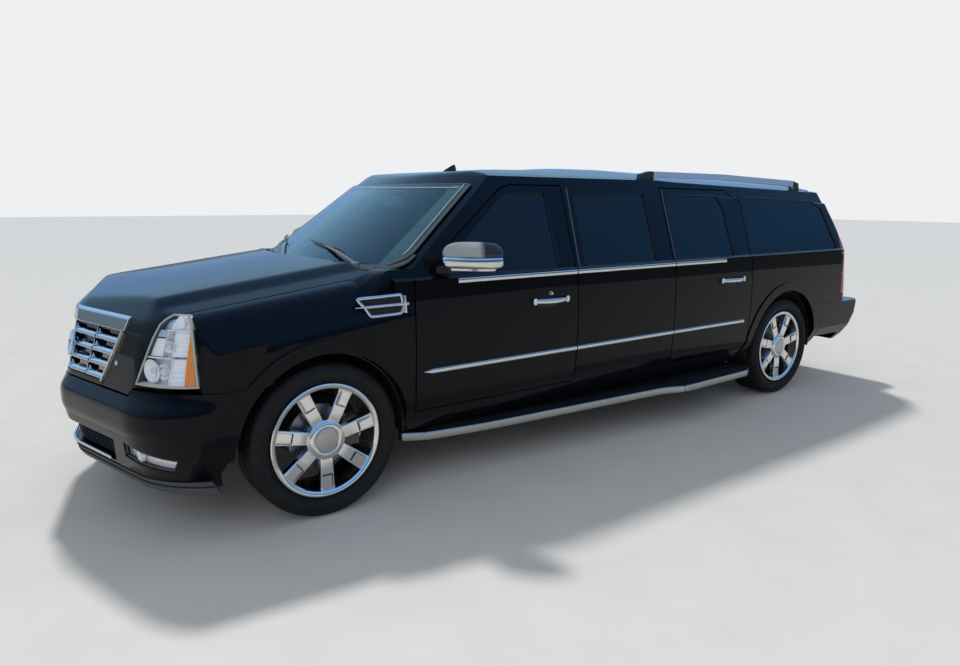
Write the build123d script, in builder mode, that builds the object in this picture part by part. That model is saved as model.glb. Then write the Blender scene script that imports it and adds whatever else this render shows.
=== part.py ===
"""Stretch limousine on a long sport-utility body, as an assembly of its real pieces.

Millimetres. X runs forward, Y to the left, Z up. The origin is on the ground,
under the middle of the overall length and width.
"""

import os
from math import cos, radians, sin

from build123d import *

# Overall layout
WHEELBASE = 4130
AXLE_FRONT = 2190
AXLE_REAR = AXLE_FRONT - WHEELBASE
NOSE = 3240
TAIL = -3240
HALF_WIDTH = 1003

# Wheels
TYRE_RADIUS = 404
WHEEL_Z = TYRE_RADIUS
TRACK_HALF = 840
KINGPIN_Y = 800
SPOKES = 7
STUB_RADIUS = 40
STUB_PLAY = 0.05
ARCH_RADIUS_FRONT = 460
ARCH_RADIUS_REAR = 480
WELL_INNER_Y = 458

# Body levels
FLOOR_TOP = 440
BELT_Z = 1190
SHOULDER_Z = BELT_Z + 12
GAP = 8
SKIN_WALL = 110
FRAME_WALL = 45
HOOD_WALL = 45
FRONT_WALL = 65
TUMBLEHOME = 18.4

# Lengthwise places of the door seams
DOOR_FRONT = 1680
DOOR_FRONT_REAR = 490
DOOR_REAR_FRONT = -470
DOOR_REAR_REAR = -1400

# Front end: the plan is a shallow V that turns the corner on one radius
V_SLOPE = 0.26
CORNER_RADIUS = 450
APEX_RADIUS = 300
COWL_X = 1686
BUMPER_TOP = 706
GRILLE_TOP = 1048

# Windshield: an arc in plan that leans back
SCREEN_X = 1955
SCREEN_Z = 1250
SCREEN_RADIUS = 1738
SCREEN_LEAN = 1.45
SCREEN_TOP = 1692

BIG = 4000
HALF_SPAN = 1200

os.makedirs("parts", exist_ok=True)


def finish(piece, name):
    """Label a finished piece and write it to its file."""
    piece.part.label = name
    export_step(piece.part, f"parts/{name}.step")


def side_prism(outline, low, high, mode=Mode.ADD):
    """Prism of a side-view outline (x, z) from y = low to y = high."""
    with BuildSketch(Plane.XZ.offset(-low)) as profile:
        with BuildLine():
            Polyline(*outline, close=True)
        make_face()
    return extrude(profile.sketch, amount=low - high, mode=mode)


def plan_prism(outline, low, high, mode=Mode.ADD):
    """Prism of a plan outline (x, y) from z = low to z = high."""
    with BuildSketch(Plane.XY.offset(low)) as profile:
        with BuildLine():
            Polyline(*outline, close=True)
        make_face()
    return extrude(profile.sketch, amount=high - low, mode=mode)


def front_prism(outline, low, high, mode=Mode.ADD):
    """Prism of an end-view outline (y, z) from x = low to x = high."""
    with BuildSketch(Plane.YZ.offset(low)) as profile:
        with BuildLine():
            Polyline(*outline, close=True)
        make_face()
    return extrude(profile.sketch, amount=high - low, mode=mode)


def block(low, high, mode=Mode.ADD):
    """Rectangular block between two corners."""
    outline = [(low[0], low[1]), (high[0], low[1]), (high[0], high[1]), (low[0], high[1])]
    return plan_prism(outline, low[2], high[2], mode=mode)


def bar(start, end, radius, mode=Mode.ADD):
    """Round bar between two points."""
    run = Vector(*end) - Vector(*start)
    with BuildSketch(Plane(origin=start, z_dir=run)) as profile:
        Circle(radius)
    return extrude(profile.sketch, amount=run.length, mode=mode)


def cross_cylinder(x, z, radius, low, high, mode=Mode.ADD):
    """Cylinder along Y from y = low to y = high."""
    return bar((x, low, z), (x, high, z), radius, mode=mode)


# Front end master form

def nose_outline(nose_x, inset):
    """Plan outline of the front end at one level: V, corner radii and straight sides."""
    side = HALF_WIDTH - inset
    corner_x = nose_x - V_SLOPE * side
    with BuildSketch() as outline:
        with BuildLine():
            Polyline(
                (0, -side), (corner_x, -side), (nose_x, 0), (corner_x, side), (0, side),
                close=True,
            )
        make_face()
        corners = outline.vertices().filter_by_position(Axis.X, corner_x - 1, corner_x + 1)
        fillet(corners, CORNER_RADIUS - inset)
        apex = outline.vertices().sort_by(Axis.X)[-1]
        fillet(apex, APEX_RADIUS)
    return outline.sketch


def nose_stack(levels, inset=0, setback=0):
    """Leaning slabs of the nose outline between levels (z, nose x)."""
    for (z_low, x_low), (z_high, x_high) in zip(levels, levels[1:]):
        lean = Vector(x_high - x_low, 0, z_high - z_low)
        foot = nose_outline(x_low - setback, inset).moved(Location((0, 0, z_low)))
        extrude(foot, amount=lean.length, dir=lean)


# (z, x where the two halves of the V would meet); the apex radius takes 10 off that point
BUMPER_LEVELS = [(262, 3155), (330, 3200), (560, NOSE + 10), (640, NOSE + 10), (BUMPER_TOP, 3217)]
FASCIA_LEVELS = [(BUMPER_TOP, 3213), (GRILLE_TOP + 6, 3134), (1126, 3066), (1330, 2890)]

# Hood centre line (x, z), rear to front, with the point that bends each arc
HOOD_REAR = (1600, 1300)
HOOD_MID = (2330, 1262)
HOOD_NOSE = (3100, 1098)
# Crown at the cowl (y, z): raised hood centre, a step, the fender top and its shoulder.
# It falls forward with the fender line.
CROWN_MIDDLE = (0, 1338)
CROWN_BEND = (330, 1331)
CROWN_CORNERS = [(650, 1306), (716, 1270), (905, 1226), (1012, 1060), (1012, 880)]
CROWN_ROUND = 170
SHOULDER_ROUND = 150
CROWN_FALL = 0.126


def hood_profile(drop, mode):
    """Everything below the hood centre line, lowered by a wall."""
    with BuildSketch(Plane.XZ.offset(HALF_SPAN)) as profile:
        with BuildLine():
            ThreePointArc(
                (HOOD_REAR[0], HOOD_REAR[1] - drop),
                (HOOD_MID[0], HOOD_MID[1] - drop),
                (HOOD_NOSE[0], HOOD_NOSE[1] - drop),
            )
            Polyline(
                (HOOD_NOSE[0], HOOD_NOSE[1] - drop),
                (3400, HOOD_NOSE[1] - drop - 60),
                (3400, 0),
                (HOOD_REAR[0], 0),
                (HOOD_REAR[0], HOOD_REAR[1] - drop),
            )
        make_face()
    extrude(profile.sketch, amount=-2 * HALF_SPAN, mode=mode)


def crown_prism(drop, inset, mode):
    """Everything below the crowned section, extruded down the slope of the fender tops."""
    with BuildSketch(Plane.YZ.offset(COWL_X - 100)) as profile:
        corners = [(y - inset * y / 1000, z - drop) for y, z in CROWN_CORNERS]
        middle = (0, CROWN_MIDDLE[1] - drop)
        with BuildLine():
            ThreePointArc(middle, (CROWN_BEND[0], CROWN_BEND[1] - drop), corners[0])
            Polyline(*corners, (1200 - inset, 880 - drop), (1200 - inset, 0), (0, 0), middle)
        make_face()
        for (y, z), radius in zip(corners[:3], (CROWN_ROUND, CROWN_ROUND, SHOULDER_ROUND)):
            here = profile.vertices().sort_by(lambda v: (v.Y - z) ** 2 + (v.X - y) ** 2)[0]
            fillet(here, radius)
        mirror(about=Plane.YZ)
    slope = Vector(1, 0, -CROWN_FALL)
    extrude(profile.sketch, amount=1800, dir=slope, mode=mode)


# Side section of the body (y, z): rocker, door skin, belt, glass plane
SECTION_FOOT = [(0, 340), (880, 340), (930, 400), (985, 500)]
SECTION_BULGE = (HALF_WIDTH, 800)
SECTION_BELT = (985, BELT_Z)
SECTION_TOP = [(967, SHOULDER_Z), (800, SHOULDER_Z + 502), (760, 1900), (0, 1900)]


def side_section(low, high, mode):
    """The body's side section extruded along X."""
    with BuildSketch(Plane.YZ.offset(low)) as profile:
        with BuildLine():
            Polyline(*SECTION_FOOT)
            ThreePointArc(SECTION_FOOT[-1], SECTION_BULGE, SECTION_BELT)
            Polyline(SECTION_BELT, *SECTION_TOP, SECTION_FOOT[0])
        make_face()
        mirror(about=Plane.YZ)
    extrude(profile.sketch, amount=high - low, mode=mode)


# Below the belt the side section alone shapes the front end; above it the crown does
FRONT_SECTION_TOP = [(975, 1330), (0, 1330)]


def front_section(mode):
    """The side section without its glass plane, for the front end."""
    with BuildSketch(Plane.YZ.offset(COWL_X)) as profile:
        with BuildLine():
            Polyline((0, 200), (880, 200), (930, 380), SECTION_FOOT[-1])
            ThreePointArc(SECTION_FOOT[-1], SECTION_BULGE, SECTION_BELT)
            Polyline(SECTION_BELT, *FRONT_SECTION_TOP, (0, 200))
        make_face()
        mirror(about=Plane.YZ)
    extrude(profile.sketch, amount=1800, mode=mode)


# Flat bands round the wheel arches, standing a little proud of the side section
BAND_WIDE = 70
BAND_PROUD = 9


def arch_band(x, radius):
    """The left band round one wheel arch, as a part of its own."""
    with BuildPart() as band:
        cross_cylinder(x, WHEEL_Z, radius + BAND_WIDE, 925, HALF_SPAN)
        with BuildSketch(Plane.YZ.offset(x - 900)) as profile:
            with BuildLine():
                foot = [(y + BAND_PROUD, z) for y, z in SECTION_FOOT[2:]]
                Polyline((900, 340), *foot)
                bulge = (SECTION_BULGE[0] + BAND_PROUD, SECTION_BULGE[1])
                belt = (SECTION_BELT[0] + BAND_PROUD, SECTION_BELT[1])
                ThreePointArc(foot[-1], bulge, belt)
                Polyline(belt, (900, BELT_Z), (900, 340))
            make_face()
        extrude(profile.sketch, amount=1800, mode=Mode.INTERSECT)
        cross_cylinder(x, WHEEL_Z, radius, 600, HALF_SPAN, mode=Mode.SUBTRACT)
    return band.part


front_band = arch_band(AXLE_FRONT, ARCH_RADIUS_FRONT)
rear_band = arch_band(AXLE_REAR, ARCH_RADIUS_REAR)

with BuildPart() as front_outer:
    nose_stack(FASCIA_LEVELS)
    block((COWL_X, -HALF_SPAN, 200), (AXLE_FRONT + 520, HALF_SPAN, 1340))
    hood_profile(0, Mode.INTERSECT)
    crown_prism(0, 0, Mode.INTERSECT)
    front_section(Mode.INTERSECT)
    block((COWL_X, -HALF_SPAN, 340), (3400, HALF_SPAN, 1400), mode=Mode.INTERSECT)

with BuildPart() as front_void:
    nose_stack([(z - 30, x) for z, x in FASCIA_LEVELS], inset=FRONT_WALL, setback=95)
    block(
        (COWL_X - 5, -HALF_WIDTH + FRONT_WALL, 200),
        (AXLE_FRONT + 470, HALF_WIDTH - FRONT_WALL, 1340),
    )
    hood_profile(HOOD_WALL, Mode.INTERSECT)
    crown_prism(HOOD_WALL, 50, Mode.INTERSECT)

with BuildPart() as front_shell:
    add(front_outer.part)
    add(front_void.part, mode=Mode.SUBTRACT)
    for side in (-1, 1):
        ends = sorted((side * WELL_INNER_Y, side * HALF_SPAN))
        cross_cylinder(AXLE_FRONT, WHEEL_Z, ARCH_RADIUS_FRONT, *ends, mode=Mode.SUBTRACT)


# Cabin master form
ROOF_FRONT_Z = 1802
ROOF_RAISED_Z = 1840
ROOF_CROWN = 1848
ROOF_EDGE_Y = 778
ROOF_CROWN_DROP = 95
ROOF_CROWN_POWER = 2.2
ROOF_STRIPS = 9
ROOF_SIDE = (812, 1668)
ROOF_FALL = 0.0275
ROOF_BREAK_X = -300
TAIL_LEVELS = [(300, -2960), (640, -2990), (830, -2988), (BELT_Z, -2930), (1900, -2566)]
TAIL_CORNER = 130
TAIL_BOW = 50

# Roof side view (x, z), front to rear
ROOF_LINE = [
    (1420, 1640),
    (1330, 1712),
    (1180, 1768),
    (920, 1796),
    (600, ROOF_FRONT_Z + 4),
    (300, ROOF_FRONT_Z + 8),
    (60, ROOF_RAISED_Z - 4),
    (-700, ROOF_RAISED_Z + 2),
    (-1500, ROOF_RAISED_Z - 8),
    (-2200, ROOF_RAISED_Z - 44),
    (-2600, ROOF_RAISED_Z - 92),
    (-3000, ROOF_RAISED_Z - 160),
]


def roof_prism(drop, mode):
    """Everything below the roof's centre line."""
    outline = [(x, z - drop) for x, z in ROOF_LINE]
    side_prism(
        [(2100, 100), (2100, 1640 - drop), *outline, (-3100, 100)],
        -HALF_SPAN,
        HALF_SPAN,
        mode=mode,
    )


def roof_crown(drop):
    """The crowned roof section (y, z): its drop grows with a power of the width."""
    crown = []
    for strip in range(ROOF_STRIPS + 1):
        share = (strip / ROOF_STRIPS) ** 0.8
        fall = ROOF_CROWN_DROP * share**ROOF_CROWN_POWER
        crown.append((share * (ROOF_EDGE_Y - drop / 2), ROOF_CROWN - drop - fall))
    return crown


def roof_cap(drop, mode):
    """Everything below the crowned roof section, level in front and falling behind."""
    flank = (ROOF_SIDE[0] - drop, ROOF_SIDE[1] - drop / 2)
    for fall in (0, ROOF_FALL):
        start = Vector(ROOF_BREAK_X - BIG, 0, -BIG * fall)
        cut = Plane(origin=start, x_dir=(0, 1, 0), z_dir=(1, 0, fall))
        with BuildSketch(cut) as profile:
            with BuildLine():
                Polyline(*roof_crown(drop), flank, (HALF_SPAN, 1500), (HALF_SPAN, 0), (0, 0), close=True)
            make_face()
            mirror(about=Plane.YZ)
        extrude(profile.sketch, amount=2 * BIG, mode=mode)


def tail_outline(tail_x, inset):
    """Plan outline of the tail at one level: a slight bow and two corner radii."""
    side = HALF_WIDTH - inset
    corner_x = tail_x + TAIL_BOW
    with BuildSketch() as outline:
        with BuildLine():
            Polyline((2100, side), (corner_x, side))
            ThreePointArc((corner_x, side), (tail_x, 0), (corner_x, -side))
            Polyline((corner_x, -side), (2100, -side), (2100, side))
        make_face()
        corners = outline.vertices().filter_by_position(Axis.X, corner_x - 1, corner_x + 1)
        fillet(corners, TAIL_CORNER - inset)
    return outline.sketch


def tail_stack(levels, inset, setback, mode):
    """Leaning slabs of the tail outline between levels (z, tail x)."""
    slabs = []
    for (z_low, x_low), (z_high, x_high) in zip(levels, levels[1:]):
        lean = Vector(x_high - x_low, 0, z_high - z_low)
        foot = tail_outline(x_low + setback, inset).moved(Location((0, 0, z_low)))
        slabs.append(extrude(foot, amount=lean.length, dir=lean, mode=Mode.PRIVATE))
    stack = slabs[0]
    for slab in slabs[1:]:
        stack = stack + slab
    add(stack, mode=mode)


def screen_arc_x(front_x, y):
    """Where the windshield's plan arc stands at a width, at the height of its base."""
    return front_x - (SCREEN_RADIUS - (SCREEN_RADIUS**2 - y**2) ** 0.5)


def screen_prism(setback, mode, round_foot=False):
    """Everything behind the windshield's leaning surface, moved back along X.

    Below the glass the face stands upright: flat, or on the windshield's own arc.
    """
    front_x = SCREEN_X - setback
    edge_x = screen_arc_x(front_x, 1100)
    with BuildSketch(Plane.XY.offset(SCREEN_Z)) as profile:
        with BuildLine():
            Polyline((edge_x, -1100), (-BIG, -1100), (-BIG, 1100), (edge_x, 1100))
            ThreePointArc((edge_x, 1100), (front_x, 0), (edge_x, -1100))
        make_face()
    rise = 1900 - SCREEN_Z
    lean = Vector(-SCREEN_LEAN * rise, 0, rise)
    leaning = extrude(profile.sketch, amount=lean.length, dir=lean, mode=Mode.PRIVATE)
    if round_foot:
        foot = extrude(profile.sketch, amount=-SCREEN_Z, mode=Mode.PRIVATE)
    else:
        foot = block((-BIG, -1100, 0), (front_x, 1100, SCREEN_Z), mode=Mode.PRIVATE)
    add(leaning + foot, mode=mode)


with BuildPart() as cabin_outer:
    side_section(-3100, 2100, Mode.ADD)
    roof_prism(0, Mode.INTERSECT)
    roof_cap(0, Mode.INTERSECT)
    tail_stack(TAIL_LEVELS, 0, 0, Mode.INTERSECT)
    screen_prism(0, Mode.INTERSECT)

VOID_FRONT = 1692
# Inner faces of the walls (y, z): thick below the belt, thin window frames above it
INNER_SECTION = [
    (0, 200),
    (HALF_WIDTH - 12 - SKIN_WALL - 13, 200),
    (HALF_WIDTH - SKIN_WALL - 25, BELT_Z - 25),
    (918, BELT_Z - 25),
    (922, BELT_Z),
    (757, BELT_Z + 496),
    (735, 1900),
    (0, 1900),
]

with BuildPart() as cabin_void:
    front_prism(INNER_SECTION + [(-y, z) for y, z in reversed(INNER_SECTION[1:-1])], -3100, VOID_FRONT)
    roof_prism(FRAME_WALL, Mode.INTERSECT)
    roof_cap(FRAME_WALL, Mode.INTERSECT)
    tail_stack(TAIL_LEVELS, 60, 70, Mode.INTERSECT)
    screen_prism(88, Mode.INTERSECT)

with BuildPart() as cabin_shell:
    add(cabin_outer.part)
    add(cabin_void.part, mode=Mode.SUBTRACT)

# The glass plane on the left side: local x runs rearwards, local y up the slope
GLASS_PLANE = Plane(
    origin=(0, 967, SHOULDER_Z),
    x_dir=(-1, 0, 0),
    z_dir=(0, cos(radians(TUMBLEHOME)), sin(radians(TUMBLEHOME))),
)


def on_glass(outline):
    """A side-view outline (x, z) in the glass plane's own coordinates."""
    return [(-x, (z - SHOULDER_Z) / cos(radians(TUMBLEHOME))) for x, z in outline]


# Door outlines: lower part in side view (x, z), upper part on the glass plane (x, height)
TAPER = 14
DOOR_TOP = 1700
UPPER_FOOT = BELT_Z - 60
LOWER_HEAD = BELT_Z + 60

FRONT_DOOR_LOWER = [
    (DOOR_FRONT, 460),
    (DOOR_FRONT, LOWER_HEAD),
    (DOOR_FRONT_REAR, LOWER_HEAD),
    (DOOR_FRONT_REAR, 460),
]
FRONT_DOOR_UPPER = [
    (DOOR_FRONT, UPPER_FOOT),
    (1625, BELT_Z + 24),
    (978, DOOR_TOP - 22),
    (900, DOOR_TOP),
    (DOOR_FRONT_REAR, DOOR_TOP),
    (DOOR_FRONT_REAR, UPPER_FOOT),
]
REAR_DOOR_LOWER = [
    (DOOR_REAR_FRONT, 460),
    (DOOR_REAR_FRONT, LOWER_HEAD),
    (DOOR_REAR_REAR, LOWER_HEAD),
    (DOOR_REAR_REAR, 520),
    (DOOR_REAR_REAR + 45, 460),
]
REAR_DOOR_UPPER = [
    (DOOR_REAR_FRONT, UPPER_FOOT),
    (DOOR_REAR_FRONT, DOOR_TOP),
    (-1240, DOOR_TOP - 4),
    (DOOR_REAR_REAR, 1600),
    (DOOR_REAR_REAR, UPPER_FOOT),
]

# Window openings on the glass plane (x, height)
WINDOWS = {
    "front_door": [(1560, 1198), (1490, 1245), (985, 1625), (930, 1652), (625, 1656), (620, 1198)],
    "rear_door": [(-515, 1198), (-512, 1655), (-1120, 1650), (-1180, 1560), (-1195, 1198)],
    "stretch": [(400, 1198), (395, 1656), (-290, 1656), (-300, 1198)],
    "quarter": [(-1425, 1198), (-1420, 1646), (-2470, 1612), (-2610, 1560), (-2745, 1215), (-2720, 1198)],
}
WINDOW_CORNER = 28


def door_zone(lower, upper, grow, mode):
    """The left door's space, or with grow its opening: both narrow inwards."""
    with BuildSketch(Plane.XZ.offset(-HALF_WIDTH - 2)) as low_sketch:
        with BuildLine():
            Polyline(*lower, close=True)
        make_face()
        if grow:
            offset(amount=grow, kind=Kind.INTERSECTION)
    low = extrude(low_sketch.sketch, amount=190, taper=TAPER, mode=Mode.PRIVATE)
    low = low & block((-BIG, 700, 0), (BIG, HALF_SPAN, SHOULDER_Z), mode=Mode.PRIVATE)
    with BuildSketch(GLASS_PLANE.offset(3)) as high_sketch:
        with BuildLine():
            Polyline(*on_glass(upper), close=True)
        make_face()
        if grow:
            offset(amount=grow, kind=Kind.INTERSECTION)
    high = extrude(high_sketch.sketch, amount=-110, taper=TAPER, mode=Mode.PRIVATE)
    high = high & block((-BIG, 500, SHOULDER_Z), (BIG, HALF_SPAN, 1900), mode=Mode.PRIVATE)
    add(low + high, mode=mode)


def pane(outline, near, far, shrink, mode):
    """Prism of a window outline between two depths below the glass plane."""
    with BuildSketch(GLASS_PLANE.offset(-near)) as profile:
        with BuildLine():
            Polyline(*on_glass(outline), close=True)
        make_face()
        offset(amount=-WINDOW_CORNER - shrink, kind=Kind.INTERSECTION)
        offset(amount=WINDOW_CORNER, kind=Kind.ARC)
    return extrude(profile.sketch, amount=near - far, mode=mode)


def door(lower, upper, window):
    """A left door: skin, inner panel and window frame cut from the cabin wall."""
    with BuildPart() as made:
        add(cabin_shell.part)
        block((-BIG, 600, 0), (BIG, HALF_SPAN, 1900), mode=Mode.INTERSECT)
        door_zone(lower, upper, 0, Mode.INTERSECT)
        pane(window, -30, 120, 0, Mode.SUBTRACT)
    return made


# Plan line between roof or windshield and the body side (x, y)
A_PILLAR_FOOT = (1810, 766)
A_PILLAR_HEAD = (1215, 655)
ROOF_SEAM_Y = 742
SEAM = 3

side_wall_zone = [
    (-3100, ROOF_SEAM_Y),
    (1150, ROOF_SEAM_Y),
    A_PILLAR_HEAD,
    A_PILLAR_FOOT,
    (1900, 782),
    (1900, HALF_SPAN),
    (-3100, HALF_SPAN),
]

# Liftgate outline seen from behind (half y, z)
GATE_FOOT = 732
BUMPER_FRONT_X = -2520
GATE_HALF = [(838, GATE_FOOT), (868, 900), (868, BELT_Z), (735, 1640), (690, 1725), (690, 1900)]
GATE_FRONT_X = -2560


def gate_prism(grow, mode):
    """The liftgate's space behind the roof, seen from behind."""
    half = [(y + grow, z) for y, z in GATE_HALF]
    half[0] = (half[0][0], half[0][1] - grow)
    outline = half + [(-y, z) for y, z in reversed(half)]
    front_prism(outline, -3400, GATE_FRONT_X + grow, mode=mode)


# Tail lamps stand in the corner posts beside the liftgate (y, z seen from behind)
TAIL_LAMP = [(892, 800), (1100, 800), (1100, 1330), (852, 1330), (890, BELT_Z)]
TAIL_LAMP_X = -2800

# What the front end takes from the foot of the windshield pillar
with BuildPart() as pillar_foot:
    block((COWL_X, 760, 200), (2100, HALF_SPAN, 1300))
    crown_prism(-GAP, 0, Mode.INTERSECT)

with BuildPart() as body_side_left:
    add(cabin_shell.part)
    plan_prism(side_wall_zone, 0, 1900, mode=Mode.INTERSECT)
    add(rear_band)
    door_zone(FRONT_DOOR_LOWER, FRONT_DOOR_UPPER, GAP, Mode.SUBTRACT)
    door_zone(REAR_DOOR_LOWER, REAR_DOOR_UPPER, GAP, Mode.SUBTRACT)
    pane(WINDOWS["stretch"], -30, 120, 0, Mode.SUBTRACT)
    pane(WINDOWS["quarter"], -30, 120, 0, Mode.SUBTRACT)
    cross_cylinder(AXLE_REAR, WHEEL_Z, ARCH_RADIUS_REAR, 600, HALF_SPAN, mode=Mode.SUBTRACT)
    add(pillar_foot.part, mode=Mode.SUBTRACT)
    block((1800, 500, 200), (2100, HALF_SPAN, 1400), mode=Mode.SUBTRACT)
    cross_cylinder(AXLE_FRONT, WHEEL_Z, ARCH_RADIUS_FRONT + 2, 458, HALF_SPAN, mode=Mode.SUBTRACT)
    block((-3400, -868, 200), (GATE_FRONT_X + SEAM, 868, GATE_FOOT), mode=Mode.SUBTRACT)
    block((-3400, 0, 200), (BUMPER_FRONT_X + 4, HALF_SPAN, 724), mode=Mode.SUBTRACT)
    gate_prism(GAP, Mode.SUBTRACT)
    front_prism(TAIL_LAMP, -3200, TAIL_LAMP_X + 2, mode=Mode.SUBTRACT)
finish(body_side_left, "body_side_left")


def other_side(piece):
    """The mirror image of a finished left piece, as a part of its own."""
    with BuildPart() as made:
        add(mirror(piece.part, about=Plane.XZ, mode=Mode.PRIVATE))
    return made


def pair(piece):
    """A left piece and its mirror image as two solids of one part."""
    with BuildPart() as made:
        add(piece.part)
        add(mirror(piece.part, about=Plane.XZ, mode=Mode.PRIVATE))
    return made


finish(other_side(body_side_left), "body_side_right")

# Doors
for row, lower, upper in (
    ("front_door", FRONT_DOOR_LOWER, FRONT_DOOR_UPPER),
    ("rear_door", REAR_DOOR_LOWER, REAR_DOOR_UPPER),
):
    panel = door(lower, upper, WINDOWS[row])
    finish(panel, f"{row}_left")
    finish(other_side(panel), f"{row}_right")
    with BuildPart() as glass:
        pane(WINDOWS[row], 10, 15, 0.5, Mode.ADD)
    finish(glass, f"{row}_glass_left")
    finish(other_side(glass), f"{row}_glass_right")

with BuildPart() as side_glass:
    pane(WINDOWS["stretch"], 10, 15, 0.5, Mode.ADD)
    pane(WINDOWS["quarter"], 10, 15, 0.5, Mode.ADD)
finish(pair(side_glass), "fixed_side_glass")

# Roof panel with the windshield header
roof_zone = [(-2553, ROOF_SEAM_Y - SEAM), (1150, ROOF_SEAM_Y - SEAM), (1212, 652), (1500, 652)]
with BuildPart() as roof_panel:
    plan_prism(roof_zone + [(x, -y) for x, y in reversed(roof_zone)], 1300, 1900)
    add(cabin_outer.part, mode=Mode.INTERSECT)
    add(cabin_void.part, mode=Mode.SUBTRACT)
    block((1100, -HALF_SPAN, 1000), (2100, HALF_SPAN, SCREEN_TOP + SEAM), mode=Mode.SUBTRACT)
    block((GATE_FRONT_X, -HALF_SPAN, 1000), (1100, HALF_SPAN, 1640), mode=Mode.SUBTRACT)
finish(roof_panel, "roof_panel")

# Windshield glass
SCREEN_INSET = 10
SCREEN_THICK = 10
screen_zone = [(1150, 640), (1212, 648), (1806, 758), (1990, 770)]
with BuildPart() as windshield:
    block((1000, -900, SCREEN_Z + 14), (2100, 900, SCREEN_TOP - 2))
    plan_prism(
        screen_zone + [(x, -y) for x, y in reversed(screen_zone)], 1200, 1900, mode=Mode.INTERSECT
    )
    screen_prism(SCREEN_INSET, Mode.INTERSECT)
    screen_prism(SCREEN_INSET + SCREEN_THICK, Mode.SUBTRACT)
finish(windshield, "windshield")

# Liftgate with its glass; the glass plane leans, the lower panel stands
GATE_GLASS_HALF = [(720, 1240), (640, 1640), (0, 1660)]
GATE_GLASS_OUTLINE = GATE_GLASS_HALF + [(-y, z) for y, z in reversed(GATE_GLASS_HALF[:-1])]
# The gate narrows inwards so that it swings clear of the corner posts
GATE_SKIN = 16
GATE_NARROWS = 14
with BuildPart() as gate_edge:
    tail_stack(TAIL_LEVELS, GATE_SKIN, GATE_SKIN * 1.3, Mode.ADD)
    gate_prism(-GATE_NARROWS, Mode.SUBTRACT)
with BuildPart() as liftgate:
    add(cabin_shell.part)
    gate_prism(0, Mode.INTERSECT)
    add(gate_edge.part, mode=Mode.SUBTRACT)
    front_prism(GATE_GLASS_OUTLINE, -3200, -2400, mode=Mode.SUBTRACT)
finish(liftgate, "liftgate")

with BuildPart() as liftgate_glass:
    front_prism([(y * 0.999, z) for y, z in GATE_GLASS_OUTLINE], -3200, -2400)
    tail_stack(TAIL_LEVELS, 12, 10, Mode.INTERSECT)
    tail_stack(TAIL_LEVELS, 16, 16, Mode.SUBTRACT)
finish(liftgate_glass, "liftgate_glass")

# Front end panels
HOOD_SEAM_Y = 818
LAMP_REAR_X = 2788
HEADER_LOW = 988
hood_zone = [
    (0, GRILLE_TOP + 4), (573, GRILLE_TOP + 4), (542, HEADER_LOW), (765, HEADER_LOW + 2),
    (793, 1082), (HOOD_SEAM_Y, 1096), (HOOD_SEAM_Y, 1400),
]
HOOD_REAR_SETBACK = -62
with BuildPart() as hood:
    add(front_shell.part)
    front_prism(
        hood_zone + [(-y, z) for y, z in reversed(hood_zone[1:])],
        COWL_X,
        3400,
        mode=Mode.INTERSECT,
    )
    screen_prism(HOOD_REAR_SETBACK, Mode.SUBTRACT, round_foot=True)
finish(hood, "hood")

# Lamps and fascia in front view (y, z)
LAMP_OUTLINE = [
    (700, 752), (HALF_WIDTH + 40, 786), (HALF_WIDTH + 40, 1300), (824, 1300), (824, 1090), (800, 1080),
]

with BuildPart() as lamp:
    add(front_shell.part)
    front_prism(LAMP_OUTLINE, LAMP_REAR_X, 3400, mode=Mode.INTERSECT)
finish(pair(lamp), "headlamps")

fascia_half = [(406, 714), (534, 976), (536, 982), (763, 984), (696, 752), (664, 714)]
with BuildPart() as fascia:
    add(front_shell.part)
    front_prism(fascia_half, 2860, 3400, mode=Mode.INTERSECT)
finish(pair(fascia), "front_panels")

with BuildPart() as fender:
    add(front_shell.part)
    add(front_band)
    front_prism(
        [(HOOD_SEAM_Y + 6, 1400), (HOOD_SEAM_Y + 6, 300), (1100, 300), (1100, 1400)],
        COWL_X,
        LAMP_REAR_X - 4,
        mode=Mode.INTERSECT,
    )
    block((AXLE_FRONT + 100, 600, 0), (3400, HALF_SPAN, 744), mode=Mode.SUBTRACT)
finish(pair(fender), "front_fenders")

# Front bumper cover with its lower intake and lamp pockets
BUMPER_WALL = 60
INTAKE = [(0, 345), (470, 345), (520, 470), (0, 470)]
FOG_POCKET = [(600, 400), (880, 372), (905, 430), (625, 480)]
with BuildPart() as bumper_core:
    nose_stack([(200, 3100), *BUMPER_LEVELS[1:-1], (780, 3160)], inset=BUMPER_WALL, setback=85)
with BuildPart() as front_bumper:
    nose_stack([*BUMPER_LEVELS, (742, 3209)])
    block((AXLE_FRONT + 100, -HALF_SPAN, 0), (3400, HALF_SPAN, 760), mode=Mode.INTERSECT)
    add(bumper_core.part, mode=Mode.SUBTRACT)
    block((AXLE_FRONT, -692, BUMPER_TOP), (3400, 692, 800), mode=Mode.SUBTRACT)
    front_section(Mode.INTERSECT)
    front_prism(INTAKE + [(-y, z) for y, z in reversed(INTAKE[1:-1])], 2900, 3400, mode=Mode.SUBTRACT)
    for outline in (FOG_POCKET, [(-y, z) for y, z in reversed(FOG_POCKET)]):
        front_prism(outline, 2700, 3400, mode=Mode.SUBTRACT)
    for side in (-1, 1):
        ends = sorted((side * WELL_INNER_Y, side * HALF_SPAN))
        cross_cylinder(AXLE_FRONT, WHEEL_Z, ARCH_RADIUS_FRONT, *ends, mode=Mode.SUBTRACT)
finish(front_bumper, "front_bumper")

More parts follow.
